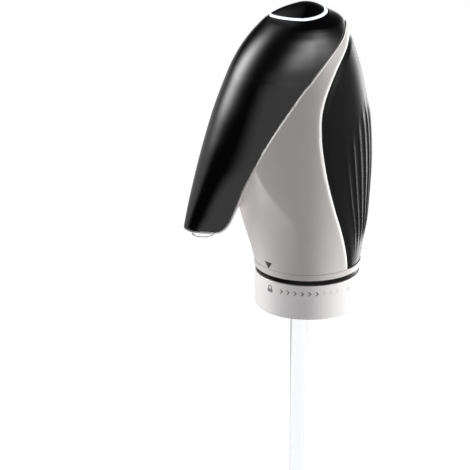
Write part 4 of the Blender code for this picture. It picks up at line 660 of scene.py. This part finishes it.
# Head: the light ring is an egg-shaped band in a tilted plane, and the button domes over it. The
# band's section pairs a share of its width with a lift, and the button's edge is a row of lifts.
head = {
    "tilt": 5.12, "centre": (-0.00221, 0.0, 0.12365), "frontReach": 0.0157, "rearReach": 0.01015,
    "halfWidth": 0.0132, "tipPower": (1.35, 0.72), "rise": 0.0039, "roundness": 0.6,
    "band": 0.056, "bandShift": 0.0005, "steps": 192, "sharp": 60.0,
    "bandSection": ((0.0, -0.0030), (0.0, -0.0002), (0.4, 0.00005), (0.5, 0.00012), (0.92857, 0.00005),
                    (1.0, -0.00015), (1.0, -0.0030)),
    "buttonGap": 0.02, "buttonRows": 40, "buttonEdge": (-0.00003, -0.00008, -0.00016, -0.0003),
    "buttonSkirt": (-0.0012, -0.0030, -0.0030),
}


# Place on the head at a share of the ring's outline: an egg in plan, lifted into a low dome
def headPoint(share, turn, lift=0.0, shift=0.0):
    tilt = math.radians(head["tilt"])
    across = np.array((math.cos(tilt), 0.0, math.sin(tilt)))
    upward = np.array((-math.sin(tilt), 0.0, math.cos(tilt)))
    cosine = np.cos(turn)
    first, second = head["tipPower"]
    reach = np.where(cosine > 0.0, head["frontReach"], head["rearReach"])
    front = (1 - np.maximum(cosine, 0.0) ** first) ** second
    width = np.where(cosine > 0.0, front * np.sign(np.sin(turn)), np.sin(turn)) * head["halfWidth"]
    flat = (-reach * cosine)[..., None] * across - width[..., None] * np.array((0.0, 1.0, 0.0))
    low = math.sqrt(1 - head["roundness"])
    dome = head["rise"] * (np.sqrt(np.maximum(1 - head["roundness"] * share ** 2, 0.0)) - low) / (1 - low)
    place = np.array(head["centre"]) - across * shift
    return place + share[..., None] * flat + (dome + lift)[..., None] * upward


# Black hood: a cap from the ring down to the nape, then rows that end on the rim, then the beak
hoodForm = {"columns": 72, "edgeColumns": (0.002, 0.004, 0.0065, 0.009), "capRows": 16, "browRows": 84,
            "frontRows": 130, "rimPower": 1.25, "capPower": 1.15, "napeShare": 0.005, "napeStep": 0.0002,
            "holeStep": 1.001, "wall": 0.0015, "edge": 0.00035, "ringEdgeShare": 0.7, "edgeLimit": 0.3,
            "straightShare": 0.26, "slopeEase": 0.004, "cheekEase": 0.003, "cheekReach": 0.010,
            "rimSamples": 1200, "edgeSamples": 800, "lineSamples": 1500}


# Places on the rim, closer together at the nape
def rimStations(count):
    return rimEdge(np.linspace(0.0, 1.0, count) ** hoodForm["rimPower"])


# Rows of the hood: an arc of an ellipse from the ridge to the rim, cut off where its slope suits
def hoodRows(heights, reaches, halfWidths, slopes, columns):
    last = np.arccos(slopes / (1 - slopes))[:, None]
    arc = columns[None, :] * last
    ridge = ridgeReach(heights)[:, None]
    along = (ridge - reaches[:, None]) * (1 - np.cos(arc)) / (1 - np.cos(last))
    side = halfWidths[:, None] * np.sin(arc) / np.sin(last)
    return np.stack((along - ridge, -side, heights[:, None] + 0.0 * arc), -1)


# Front rows, from the middle of the brow to the mouth: the rim and the beak's edge as one line, and
# the slope at that line, both eased along their length so that the surface has no break
def hoodFront(columns):
    turns, heights = rimEdge(np.linspace(0.0, 1.0, hoodForm["rimSamples"]))
    start = np.argmax(turns < math.pi / 2)
    turns = turns[start:]
    heights = heights[start:]
    rim = eggPoint(turns, heights)
    steep = sideReach(heights) ** 2 * -rim[:, 0] / (frontReach(heights) ** 2 * -rim[:, 1])
    slopes = np.minimum(steep * (ridgeReach(heights) + rim[:, 0]) / -rim[:, 1], hoodForm["edgeLimit"])
    edge = beakEdge(np.linspace(0.0, 1.0, hoodForm["edgeSamples"]))[1:]
    straight = levelAt(hoodForm["straightShare"])
    ease = smoothStep((edge[:, 1] - straight) / (heights[-1] - straight))
    line = np.concatenate((np.stack((-rim[:, 0], heights, -rim[:, 1], slopes), -1),
                           np.column_stack((edge, hoodForm["edgeLimit"] * ease))))
    steps = np.linalg.norm(np.diff(line[:, :3], axis=0), axis=1)
    stations = np.concatenate(([0.0], np.cumsum(steps)))
    even = np.linspace(0.0, stations[-1], hoodForm["lineSamples"])
    line = np.stack([np.interp(even, stations, column) for column in line.T], -1)
    cheek = stations[len(rim) - 1]
    line[:, 3] = spread(line[:, 3], even, hoodForm["slopeEase"])
    near = np.exp(-((even - cheek) / hoodForm["cheekReach"]) ** 2)[:, None]
    soft = np.stack([spread(column, even, hoodForm["cheekEase"]) for column in line[:, :3].T], -1)
    line[:, :3] = line[:, :3] * (1 - near) + soft * near
    rows = np.stack([np.interp(np.linspace(0.0, even[-1], hoodForm["frontRows"]), even, column)
                     for column in line.T], -1)
    return hoodRows(rows[:, 1], rows[:, 0], rows[:, 2], np.maximum(rows[:, 3], 0.0), columns)


# A line's values eased along it with a bell curve; its ends are carried on straight
def spread(values, stations, width):
    step = stations[1] - stations[0]
    reach = int(3 * width / step) + 1
    bell = np.exp(-0.5 * (np.arange(-reach, reach + 1) * step / width) ** 2)
    before = 2 * values[0] - values[reach:0:-1]
    after = 2 * values[-1] - values[-2:-reach - 2:-1]
    return np.convolve(np.concatenate((before, values, after)), bell / bell.sum(), "valid")


# The whole hood as one grid. The cap is a cubic curve from the ring's outline to the casing's skin at
# the nape, level with the head at its top and with the skin at its foot.
def hoodGrid():
    columns = np.linspace(0.0, 1.0, hoodForm["columns"])
    columns = np.sort(np.concatenate((columns, 1 - np.array(hoodForm["edgeColumns"]))))
    turns, heights = rimStations(hoodForm["browRows"])
    brow = eggPoint(turns[:, None] * columns, heights[:, None] + 0.0 * columns)[turns >= math.pi / 2]
    nape = heights[0] + (casing["crown"] - casing["bottom"]) * hoodForm["napeShare"]
    napeLine = np.full(len(columns), nape)
    outsideTurns = columns * math.pi
    outside = eggPoint(outsideTurns, napeLine)
    upward = outside - eggPoint(outsideTurns, napeLine - hoodForm["napeStep"])
    hole = np.full(len(columns), 1 + casing["gap"] / head["halfWidth"])
    inside = headPoint(hole, outsideTurns)
    falls = unit(headPoint(hole * hoodForm["holeStep"], outsideTurns) - inside)
    chord = np.linalg.norm(outside - inside, axis=-1)[None, :, None]
    part = np.linspace(0.0, 1.0, hoodForm["capRows"] + 1)[:-1, None, None] ** hoodForm["capPower"]
    cap = (inside * (1 + 2 * part) * (1 - part) ** 2 + outside * part ** 2 * (3 - 2 * part)
           + chord * part * (1 - part) * (falls * (1 - part) + unit(upward) * part))
    rows = np.concatenate((cap, brow, hoodFront(columns)))
    rows[:, 0, 1] = 0.0
    rows[:hoodForm["capRows"] + 1, -1, 1] = 0.0
    return rows


# Hood: the grid with its outer edge and the edge round the ring rounded, and a wall behind it
def makeHood():
    outer = hoodGrid()
    normals = gridNormals(outer)
    nape = hoodForm["capRows"] + 1
    normals[:, 0, 1] = 0.0
    normals[:nape, -1, 1] = 0.0
    normals[-1, :, 2] = 0.0
    normals = unit(normals)
    line = np.concatenate((outer[nape - 1:, -1], outer[-1, ::-1]))
    edge = hoodForm["edge"]
    fall = edgeFall(distanceToLine(outer, line), edge, edge)
    fall += edgeFall(distanceToLine(outer, outer[0]), edge, edge * hoodForm["ringEdgeShare"])
    inner = outer - normals * hoodForm["wall"]
    addMirrored("hood", outer - normals * fall[..., None], inner, "glossBlack", "casing", ["beak_cover"])


makeHood()
print("aerator: hood is made")


# Pale shell: one skin from the throat round to the panel. Its edge rolls in along the panel. The
# zones beside the hood and the panel have closer columns, at the given shares of each zone.
shellForm = {"rows": 70, "rimRows": 110, "wall": 0.0018, "hidden": 0.0006, "lipHighlightReach": 0.0014,
             "lipWidth": 0.0024, "lipDepth": 0.00095, "rimWidth": 0.0006, "rimDepth": 0.0004,
             "footEdge": 0.00025, "rimZone": 0.0012, "rimZoneLimit": 0.2, "lipZone": 0.0030,
             "lipZoneLimit": 0.4, "edgeSamples": 400, "panelSamples": 600,
             "middleColumns": 44, "rimColumns": (0.0, 0.06, 0.14, 0.24, 0.36, 0.5, 0.7),
             "lipColumns": (0.89, 0.77, 0.65, 0.54, 0.44, 0.35, 0.27, 0.20, 0.14, 0.09, 0.05, 0.02, 0.0)}


# Plain direction of points from the upright axis: nought in front, half a turn behind
def angleAt(points):
    return np.arctan2(np.abs(points[..., 1]), -points[..., 0])


# Shell: each row runs at even shares of direction and height from its place on the beak's edge or
# the rim to its place on the panel's edge, and lies on the casing's skin
def makeShell():
    turns, heights = rimStations(shellForm["rimRows"])
    rim = movedEdge(turns, heights, casing["gap"])[::-1]
    cheek = rim[0]
    foot = casing["bottom"] + (cheek[2] - casing["bottom"]) * np.linspace(0.0, 1.0, shellForm["rows"])[:-1]
    edge = beakEdge(np.linspace(0.0, 1.0, shellForm["edgeSamples"]))[::-1]
    reach = np.interp(foot, edge[:, 1], edge[:, 0]) + shellForm["hidden"]
    ahead = np.minimum(reach / throatReach(foot), 1.0)
    power = throatPower(foot)
    aside = (1 - ahead ** power) ** (1 / power)
    startAngles = np.arctan2(throatWidth(foot) * aside, throatReach(foot) * ahead)
    startAngles = np.where(foot < casing["mouthHeight"], 0.0, startAngles)
    leftAngles = np.concatenate((startAngles, angleAt(rim)))
    leftHeights = np.concatenate((foot, rim[:, 2]))
    shares = np.linspace(0.0, 1.0, shellForm["panelSamples"])
    panelHeights = panelEdge(shares)[1]
    topShare = np.interp(cheek[2], panelHeights[::-1], shares[::-1])
    footShares = np.interp(foot, panelHeights[::-1], shares[::-1])
    rimShares = (np.linspace(0.0, 1.0, shellForm["rimRows"]) ** hoodForm["rimPower"] * topShare)[::-1]
    rightTurns, rightHeights = panelEdge(np.concatenate((footShares, rimShares)))
    right = movedEdge(rightTurns[::-1], rightHeights[::-1], -casing["gap"])[::-1]
    right[0, 2] = casing["bottom"]
    length = np.linalg.norm(right - skinPoint(leftAngles, leftHeights), axis=-1)[:, None]
    nearRim = np.minimum(shellForm["rimZone"], length * shellForm["rimZoneLimit"])
    nearLip = np.minimum(shellForm["lipZone"], length * shellForm["lipZoneLimit"])
    middlePart = np.linspace(0.0, 1.0, shellForm["middleColumns"])
    place = np.concatenate((np.array(shellForm["rimColumns"]) * nearRim,
                            nearRim + (length - nearRim - nearLip) * middlePart,
                            length - nearLip * np.array(shellForm["lipColumns"])), -1)
    part = np.clip(place / length, 0.0, 1.0)
    angles = leftAngles[:, None] * (1 - part) + angleAt(right)[:, None] * part
    heights = leftHeights[:, None] * (1 - part) + right[:, 2][:, None] * part
    outer = skinPoint(angles, heights)
    outer[-1, :, 1] = 0.0
    outer[:len(foot), 0, 1] *= startAngles > 0.0
    normals = gridNormals(outer)
    normals *= np.sign((normals * (outer * (1.0, 1.0, 0.0))).sum(-1, keepdims=True))
    normals[-1, :, 1] = 0.0
    normals[outer[..., 1] > -joining["middle"], 1] = 0.0
    normals[0, :, 2] = 0.0
    normals = unit(normals)
    lip = edgeFall(distanceToLine(outer, right), shellForm["lipWidth"], shellForm["lipDepth"])
    rimFall = edgeFall(distanceToLine(outer, rim), shellForm["rimWidth"], shellForm["rimDepth"])
    base = edgeFall(outer[..., 2] - casing["bottom"], shellForm["footEdge"], shellForm["footEdge"])
    fall = np.maximum(np.maximum(lip, rimFall), base)
    inner = outer - normals * shellForm["wall"]
    shell = addMirrored("shell", outer - normals * fall[..., None], inner, "pearl", "casing", ["main_shell"])
    # The shell's faces along the panel get a painted highlight
    paintLipHighlight(shell.data, right)


# Faces within a distance of the shell's edge along the panel take a lighter finish, a painted highlight where
# the rolled edge meets the light from the right
def paintLipHighlight(mesh, edge):
    centres = np.empty(len(mesh.polygons) * 3)
    mesh.polygons.foreach_get("center", centres)
    centres = centres.reshape(-1, 3)
    centres[:, 1] = -np.abs(centres[:, 1])
    near = distanceToLine(centres, edge) < shellForm["lipHighlightReach"]
    mesh.materials.append(finishes["lipPaintedHighlight"])
    mesh.polygons.foreach_set("material_index", near.astype(np.int32))


makeShell()


# Bead along the hood: a small round section carried along the rim and the beak's lower edge, in a lighter
# pearl that paints its bright line as a highlight
bead = {"radius": 0.00040, "sink": 0.0002, "sides": 12, "rimRows": 150, "beakRows": 110, "inset": 0.0002,
        "below": 0.0005, "lowRadius": 0.00035, "sharp": 60.0}


# The bead's two paths: the rim moved out over the skin and sunk a little, and the beak's edge moved
# down at a right angle to its run
def beadPaths():
    turns, heights = rimStations(bead["rimRows"])
    upper = movedEdge(turns, heights, casing["gap"] + bead["radius"])
    upper = upper - unit(upper * (1.0, 1.0, 0.0)) * bead["sink"]
    edge = beakEdge(np.linspace(0.0, 1.0, bead["beakRows"]))
    run = unit(np.gradient(edge[:, :2], axis=0))
    lower = np.stack((-edge[:, 0] - run[:, 1] * bead["below"], -edge[:, 2] + bead["inset"],
                      edge[:, 1] - np.abs(run[:, 0]) * bead["below"]), -1)
    return upper, lower


# Round section along a path: rings at a right angle to it, with both ends closed
def addBead(name, path, radius):
    along = unit(np.gradient(path, axis=0))
    side = unit(np.cross(along, np.array((0.0, 0.0, 1.0)) + least["turn"]))
    up = np.cross(side, along)
    turn = np.linspace(0.0, math.tau, bead["sides"], endpoint=False)[None, :, None]
    grid = path[:, None] + radius * (side[:, None] * np.cos(turn) + up[:, None] * np.sin(turn))
    addPiece(name, grid, tubeFaces(len(path), bead["sides"]), "pearlPaintedHighlight", "casing", (), bead["sharp"])


# Near and far side of the rim make one bead; the beak has a bead on each side
def makeBeads():
    mirror = (1.0, -1.0, 1.0)
    upper, lower = beadPaths()
    addBead("rimBead", np.concatenate((upper[::-1] * mirror, upper[1:]))[::-1], bead["radius"])
    addBead("beakBead", lower, bead["lowRadius"])
    addBead("beakBeadFar", (lower * mirror)[::-1], bead["lowRadius"])


makeBeads()
print("aerator: shell and beads are made")


# Rear grip panel: leaf-shaped, with upright ribs that fade in from the top
panelForm = {"rows": 150, "rowPower": 1.3, "edgeColumns": 24, "edgeShare": 0.06, "columns": 150,
             "wall": 0.0016, "recess": 0.0004, "edgeRecess": 0.0009, "edgeWidth": 0.003,
             "ribHeight": 0.0006, "ribSpacing": 0.12, "ribs": 6, "ribPower": 1.6, "ribEase": 0.8,
             "ribTop": 0.68, "ribFall": 0.17, "ribBottom": 0.05, "ribFade": 0.12,
             "openingSteps": 48, "openingFrom": -0.006, "openingTo": 0.02}


# Panel: rows from its edge round to the middle behind, sunk a little under the casing's skin and more
# along the edge. A rib is a raised cosine of the turn, which fades out above and below.
def makePanel():
    turns, heights = panelEdge(np.linspace(0.0, 1.0, panelForm["rows"]) ** panelForm["rowPower"])
    edgeShare = panelForm["edgeShare"]
    columns = np.concatenate((np.linspace(0.0, edgeShare, panelForm["edgeColumns"])[:-1],
                              np.linspace(edgeShare, 1.0, panelForm["columns"])))[None, :]
    turnGrid = turns[:, None] * (1 - columns) + math.pi * columns
    heightGrid = heights[:, None] + 0.0 * turnGrid
    skin = eggPoint(turnGrid, heightGrid)
    normals = gridNormals(skin)
    normals *= np.sign((normals * (skin * (1.0, 1.0, 0.0))).sum(-1, keepdims=True))
    normals[0] = normals[1]
    normals[:, -1, 1] = 0.0
    normals[-1, :, 2] = 0.0
    normals = unit(normals)
    number = (1 - columns) / panelForm["ribSpacing"]
    wave = (0.5 + 0.5 * np.cos(math.tau * number)) ** panelForm["ribPower"]
    wave = wave * smoothStep((panelForm["ribs"] - number) / panelForm["ribEase"] + 0.5)
    share = shareAt(heightGrid)
    top = panelForm["ribTop"] - panelForm["ribFall"] * (number / panelForm["ribs"]) ** 2
    wave = wave * smoothStep((top - share) / panelForm["ribFade"])
    wave = wave * smoothStep((share - panelForm["ribBottom"]) / panelForm["ribFade"])
    nearEdge = 1 - smoothStep(distanceToLine(skin, skin[:, 0]) / panelForm["edgeWidth"])
    sink = panelForm["recess"] + (panelForm["edgeRecess"] - panelForm["recess"]) * nearEdge
    outer = skin + normals * (wave * panelForm["ribHeight"] - sink)[..., None]
    inner = skin - normals * (panelForm["recess"] + panelForm["wall"])
    for grid in (outer, inner):
        grid[:, -1, 1] = 0.0
        grid[0, :, 1] = 0.0
    panel = addMirrored("gripPanel", outer, inner, "satinBlack", "casing", ["rear_panel"])
    low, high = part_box("usb_socket")
    half = (high - low) / 2
    cutOpening(panel, (low + high) / 2, half.y + casing["gap"], half.z + casing["gap"])


# Rounded slot through a piece along X, at a middle point: half circles of the half-height, moved apart
def cutOpening(piece, middle, halfWidth, halfHeight):
    steps = panelForm["openingSteps"]
    turn = np.linspace(0.0, math.tau, steps, endpoint=False)
    across = (halfWidth - halfHeight) * np.sign(np.cos(turn)) + halfHeight * np.cos(turn)
    upward = halfHeight * np.sin(turn)
    ends = [np.full(steps, middle.x + panelForm[end]) for end in ("openingFrom", "openingTo")]
    points = np.concatenate([np.stack((end, middle.y + across, middle.z + upward), -1) for end in ends])
    mesh = bpy.data.meshes.new("openingTool")
    mesh.from_pydata(points.tolist(), [], tubeFaces(2, steps))
    shape = bmesh.new()
    shape.from_mesh(mesh)
    bmesh.ops.recalc_face_normals(shape, faces=shape.faces[:])
    shape.to_mesh(mesh)
    shape.free()
    tool = bpy.data.objects.new("openingTool", mesh)
    scene.collection.objects.link(tool)
    change = piece.modifiers.new("opening", "BOOLEAN")
    change.operation = "DIFFERENCE"
    change.solver = "EXACT"
    change.object = tool
    bpy.context.view_layer.update()
    evaluated = piece.evaluated_get(bpy.context.evaluated_depsgraph_get())
    cut = bpy.data.meshes.new_from_object(evaluated)
    piece.modifiers.clear()
    piece.data = cut
    bpy.data.objects.remove(tool, do_unlink=True)


makePanel()
print("aerator: grip panel is made")


# Rings of points on the head, each at a share of the outline, a lift and a shift backward
def headRings(shares, lifts, shifts):
    turn = np.linspace(0.0, math.tau, head["steps"], endpoint=False)
    return np.array([headPoint(np.full(turn.shape, share), turn, lift, shift)
                     for share, lift, shift in zip(shares, lifts, shifts)])


# Light ring: its section carried round the outline, its inner side shifted backward
def makeLightRing():
    parts, lifts = np.array(head["bandSection"]).T
    grid = headRings(1 - head["band"] * parts, lifts, head["bandShift"] * parts)
    addPiece("lightRing", grid, ringFaces(*grid.shape[:2]), "lit", "casing", ["light_ring"], head["sharp"])


# Button: rings over the dome from its middle out to its edge, then a skirt and a flat underside
def makeButton():
    rim = 1 - head["band"] - head["buttonGap"]
    rows = head["buttonRows"]
    edge = head["buttonEdge"]
    shares = np.concatenate((rim * np.sin(np.linspace(0.0, math.pi / 2, rows)), (rim, rim, 0.0)))
    lifts = np.concatenate((np.zeros(rows - len(edge)), edge, head["buttonSkirt"]))
    grid = headRings(shares, lifts, np.full(len(shares), head["bandShift"]))
    faces = ringFaces(*grid.shape[:2], closed=False)
    addPiece("buttonCap", grid, faces, "buttonBlack", "button", ["power_button"])


makeLightRing()
makeButton()
print("aerator: head is made")


# Foot: base ring, seal band and lock collar
foot = {
    "baseBottom": 0.0042, "baseTop": 0.00702, "baseRadius": 0.0238, "baseWidth": 0.0028, "baseEdge": 0.00022,
    "bandBottom": 0.0022, "bandTop": 0.0039, "bandRadius": 0.0236, "bandWidth": 0.0031, "bandEdge": 0.00025,
    "collarBottom": -0.015, "collarTop": 0.0019, "collarRadius": 0.024, "collarFillet": 0.0015,
    "collarEdge": 0.0004, "arcSteps": 10, "steps": 192, "bandSteps": 160,
}


# Foot: three turned profiles. The collar's corners are quarter circles, and its bore steps out round
# the retainer.
def makeFoot():
    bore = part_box("seal_band")[1].y - foot["bandWidth"]
    lowRadius = float(sideReach(casing["bottom"]))
    stretch = float(rearReach(casing["bottom"])) / lowRadius
    inner = foot["baseRadius"] - foot["baseWidth"]
    profile = rounded(((lowRadius, foot["baseTop"]), (foot["baseRadius"], foot["baseBottom"]),
                       (inner, foot["baseBottom"]), (inner, foot["baseTop"])), foot["baseEdge"])
    addTurned("baseRing", profile, "pearl", "casing", ["base_ring"], steps=foot["steps"], squeeze=stretch)
    profile = rounded(((foot["bandRadius"], foot["bandTop"]), (foot["bandRadius"], foot["bandBottom"]),
                       (bore, foot["bandBottom"]), (bore, foot["bandTop"])), foot["bandEdge"])
    addTurned("sealBand", profile, "bandBlack", "casing", ["seal_band"], steps=foot["bandSteps"])
    arc = np.linspace(0.0, math.pi / 2, foot["arcSteps"])
    fillet = foot["collarFillet"]
    edge = foot["collarEdge"]
    radius = foot["collarRadius"]
    bottom = foot["collarBottom"]
    top = foot["collarTop"]
    lower = np.stack((radius - fillet * (1 - np.cos(arc)), bottom + fillet * (1 - np.sin(arc))), -1)
    upper = np.stack((radius - edge * (1 - np.sin(arc)), top - edge * (1 - np.cos(arc))), -1)
    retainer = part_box("collar_retainer")[1]
    recess = retainer.y + casing["gap"]
    shoulder = retainer.z + casing["gap"]
    inside = ((recess, bottom), (recess, shoulder), (bore, shoulder), (bore, top))
    profile = np.concatenate((upper, lower, inside))
    addTurned("twistCollar", profile, "collarWhite", "collar", ["lock_collar"], steps=foot["steps"])


makeFoot()


# Marks: flat shapes wrapped onto the skin, a hair proud of it. A place is an angle in degrees from
# the camera's side and a height, and an outline is across and up in metres. Each padlock has its
# angle, its ink and its shackle's lean.
marks = {
    "proud": 0.00008, "sunk": 0.00006, "strips": 5,
    # Chevrons past the dark ones, and the open padlock, are in pale ink: painted highlight over the print
    "chevrons": 9, "darkChevrons": 6, "chevronHeight": -0.0020, "firstChevron": -30.6, "chevronStep": 8.0,
    "chevronHalf": 0.00095, "chevronDeep": 0.00095, "chevronThick": 0.00050,
    "locks": {"lock": (-46.0, "lockInk", 0.0), "unlock": (50.0, "paintedHighlightInk", 0.0007)}, "lockHeight": -0.0021,
    "lockSide": ((-0.00125, -0.0016), (-0.0015, -0.0014), (-0.0015, -0.0001), (-0.00125, 0.0001)),
    "shackleRadii": (0.00070, 0.00110), "shackleFoot": 0.0001, "shackleHeight": 0.0008, "shackleSteps": 15,
    "pointerAngle": -47.5, "pointerTop": 0.0107, "pointerSize": (0.0044, 0.0031), "pointerRows": 8,
    "pointerTip": 0.99,
}


# A strip between two lines of points, wrapped round the upright axis: across becomes a turn
def addMark(name, inside, outside, material, body, angle, height, radiusAt):
    inside = np.array(inside, float)
    outside = np.array(outside, float)
    part = np.linspace(0.0, 1.0, marks["strips"])[None, :, None]
    flat = inside[:, None] * (1 - part) + outside[:, None] * part
    upward = height + flat[..., 1]
    radius = radiusAt(math.radians(angle), upward)
    turn = math.radians(angle) + flat[..., 0] / radius
    radius = radiusAt(turn, upward)
    grids = [np.stack(((radius + lift) * np.sin(turn), -(radius + lift) * np.cos(turn), upward), -1)
             for lift in (marks["proud"], -marks["sunk"])]
    faces = slabFaces(*flat.shape[:2], np.zeros(flat.size // 2, bool))
    addPiece(name, np.concatenate(grids), faces, material, body)


# Radius of the collar, and of the shell, at a turn and a height
def collarRadius(turn, height):
    return foot["collarRadius"] + 0.0 * height + 0.0 * turn


def shellRadius(turn, height):
    angle = np.abs(np.arctan2(np.cos(turn), -np.sin(turn)))
    point = skinPoint(angle + 0.0 * height, height + 0.0 * angle)
    return np.hypot(point[..., 0], point[..., 1])


# One side of a padlock's shackle: up one leg, over a half circle and down the other leg
def shackleLine(radius, lean):
    arc = np.linspace(0.0, math.pi, marks["shackleSteps"])
    bow = np.stack((radius * np.cos(arc) + lean, marks["shackleHeight"] + radius * np.sin(arc)), -1)
    low = marks["shackleFoot"]
    return np.concatenate((((radius + lean, low),), bow, ((-radius + lean, low),)))


# Chevrons and padlocks on the collar, and the pointer, a triangle that stands on its tip, above them
def makeMarks():
    half = marks["chevronHalf"]
    deep = marks["chevronDeep"] / 2
    thick = (marks["chevronThick"] / 2, 0.0)
    line = np.array(((-deep, half), (deep, 0.0), (-deep, -half)))
    for number in range(marks["chevrons"]):
        # The later chevrons take the pale ink, a painted highlight over the print
        ink = "greyInk" if number < marks["darkChevrons"] else "paintedHighlightInk"
        angle = marks["firstChevron"] + marks["chevronStep"] * number
        addMark(f"chevron{number}", line - thick, line + thick, ink, "collar", angle, marks["chevronHeight"],
                collarRadius)
    left = np.array(marks["lockSide"])
    for name, (angle, ink, lean) in marks["locks"].items():
        place = (ink, "collar", angle, marks["lockHeight"], collarRadius)
        addMark(name + "Body", left, left * (-1.0, 1.0), *place)
        addMark(name + "Shackle", *[shackleLine(radius, lean) for radius in marks["shackleRadii"]], *place)
    wide, tall = marks["pointerSize"]
    part = np.linspace(0.0, marks["pointerTip"], marks["pointerRows"])
    left = np.stack((-wide / 2 * (1 - part), -tall * part), -1)
    addMark("pointer", left, left * (-1.0, 1.0), "darkInk", "casing", marks["pointerAngle"],
            marks["pointerTop"], shellRadius)


makeMarks()
print("aerator: foot and marks are made")


# Clear pieces and soft seals, as turned profiles in the places of their solids
clearForm = {"tubeCentre": -0.0035, "tubeRadius": 0.004, "tubeBore": 0.0029, "innerRadius": 0.0025,
             "innerBore": 0.0016, "tubeEdge": 0.0002, "tubeSteps": 96, "nozzleCentre": -0.0477,
             "nozzleRadius": 0.0053, "nozzleBore": 0.0036, "nozzleEdge": 0.0003}


# Section of a ring between two radii and two heights
def ringProfile(outer, inner, low, high, edge, steps=4):
    return rounded(((outer, high.z), (outer, low.z), (inner, low.z), (inner, high.z)), edge, steps)


# Tubes as plain rings, and a spout with a flange that rests inside the mouth
def makeClearPieces():
    tube = (clearForm["tubeCentre"], 0.0)
    for name, node, size, body in (("dipTube", "dip_tube_outer", "tube", "casing"),
                                   ("dipTubeEnd", "dip_tube_inner", "inner", "tube_end")):
        profile = ringProfile(clearForm[size + "Radius"], clearForm[size + "Bore"], *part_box(node),
                              clearForm["tubeEdge"])
        addTurned(name, profile, "clear", body, [node], tube, clearForm["tubeSteps"])
    low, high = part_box("nozzle")
    radius = clearForm["nozzleRadius"]
    bore = clearForm["nozzleBore"]
    step = casing["mouthHeight"]
    profile = rounded(((high.y, high.z), (high.y, step), (radius, step), (radius, low.z), (bore, low.z),
                       (bore, high.z)), clearForm["nozzleEdge"])
    addTurned("spout", profile, "clear", "casing", ["nozzle"], (clearForm["nozzleCentre"], 0.0))


makeClearPieces()


# Seals: each ring has its solid, its finish and its inner radius
seals = {
    "rings": {
        "lipSeal": ("lip_gasket", "silicone", 0.0086),
        "tubeSeal": ("tube_o_ring", "rubber", 0.0043),
        "spoutSeal": ("nozzle_seal", "rubber", 0.0036),
    },
    "edge": 0.0004, "edgeSteps": 5, "steps": 96, "diaphragmEdge": 0.0003,
    "sleeveBore": 0.0152, "sleeveEdge": 0.0003, "waves": 4, "waveDepth": 0.00025, "waveSteps": 41,
    "guideLip": 0.0008, "guideBore": 0.00265, "guideSeat": 0.0043, "guideEdge": 0.0002,
}


# Box, outer radius and centre of a solid that is round about an upright axis
def roundSolid(node):
    low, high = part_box(node)
    return low, high, (high.y - low.y) / 2, ((low.x + high.x) / 2, 0.0)


# Seals as turned rings. The sleeve round the neck rides no body and stays where it stands.
def makeSeals():
    for name, (node, material, inner) in seals["rings"].items():
        low, high, outer, centre = roundSolid(node)
        profile = ringProfile(outer, inner, low, high, seals["edge"], seals["edgeSteps"])
        addTurned(name, profile, material, "casing", [node], centre, seals["steps"])
    low, high, outer, centre = roundSolid("neck_seal_sleeve")
    profile = wavySleeve(outer, seals["sleeveBore"], low.z, high.z)
    sleeve = addTurned("neckSleeve", profile, "silicone", None, (), centre)
    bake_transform(sleeve)
    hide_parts("neck_seal_sleeve")
    low, high, outer, centre = roundSolid("pump_diaphragm")
    profile = rounded(((0.0, high.z), (outer, high.z), (outer, low.z), (0.0, low.z)), seals["diaphragmEdge"])
    addTurned("diaphragm", profile, "rubber", "casing", ["pump_diaphragm"], centre, seals["steps"])
    low, high, outer, centre = roundSolid("tube_guide")
    step = low.z + seals["guideLip"]
    bore = seals["guideBore"]
    seat = seals["guideSeat"]
    profile = rounded(((outer, high.z), (outer, low.z), (bore, low.z), (bore, step), (seat, step),
                       (seat, high.z)), seals["guideEdge"])
    addTurned("tubeGuide", profile, "silicone", "casing", ["tube_guide"], (clearForm["tubeCentre"], 0.0),
              seals["steps"])


# Sleeve whose inner side has shallow waves: a raised cosine of the height. Its outer corners are cut.
def wavySleeve(outer, inner, bottom, top):
    upward = np.linspace(0.0, 1.0, seals["waveSteps"])
    edge = seals["sleeveEdge"]
    wave = inner + seals["waveDepth"] * (1 - np.cos(math.tau * seals["waves"] * upward)) / 2
    inside = np.stack((wave, bottom + (top - bottom) * upward), -1)
    outside = np.array(((outer - edge, top), (outer, top - edge), (outer, (top + bottom) / 2),
                        (outer, bottom + edge), (outer - edge, bottom)))
    return np.concatenate((outside, inside))


makeSeals()
print("aerator: seals and clear pieces are made")


# Finishes of the solids that stay as they are
carried = {
    # The beak's underside takes the lighter pearl copy, a painted highlight
    "beak_underside": "pearlPaintedHighlight", "tube_foot": "silicone", "base_chassis": "satinBlack",
    "collar_retainer": "greyPlastic", "pressure_ring": "greyPlastic", "port_block": "greyPlastic",
    "inner_frame": "greyPlastic", "motor_bracket": "greyPlastic", "pump_body": "greyPlastic",
    "button_frame": "greyPlastic", "tact_switch": "greyPlastic", "motor_can": "steel", "pump_rotor": "steel",
    "usb_socket": "steel", "battery_contact_low": "copper", "battery_contact_high": "copper",
    "motor_end_cap": "whitePlastic", "pump_cover": "whitePlastic", "aerator_chamber": "whitePlastic",
    "switch_plunger": "whitePlastic", "battery_cell": "batteryWrap", "battery_holder": "satinBlack",
    "main_board": "board", "charge_board": "board", "button_board": "board", "wine_hose": "clear",
    "air_hose": "silicone",
}


# A solid keeps its shape, and its finish takes the place of its own material
def dressNodes():
    for name, material in carried.items():
        node = nodes[name]
        node.data.materials.clear()
        node.data.materials.append(finishes[material])


dressNodes()
print("aerator: solids are dressed")
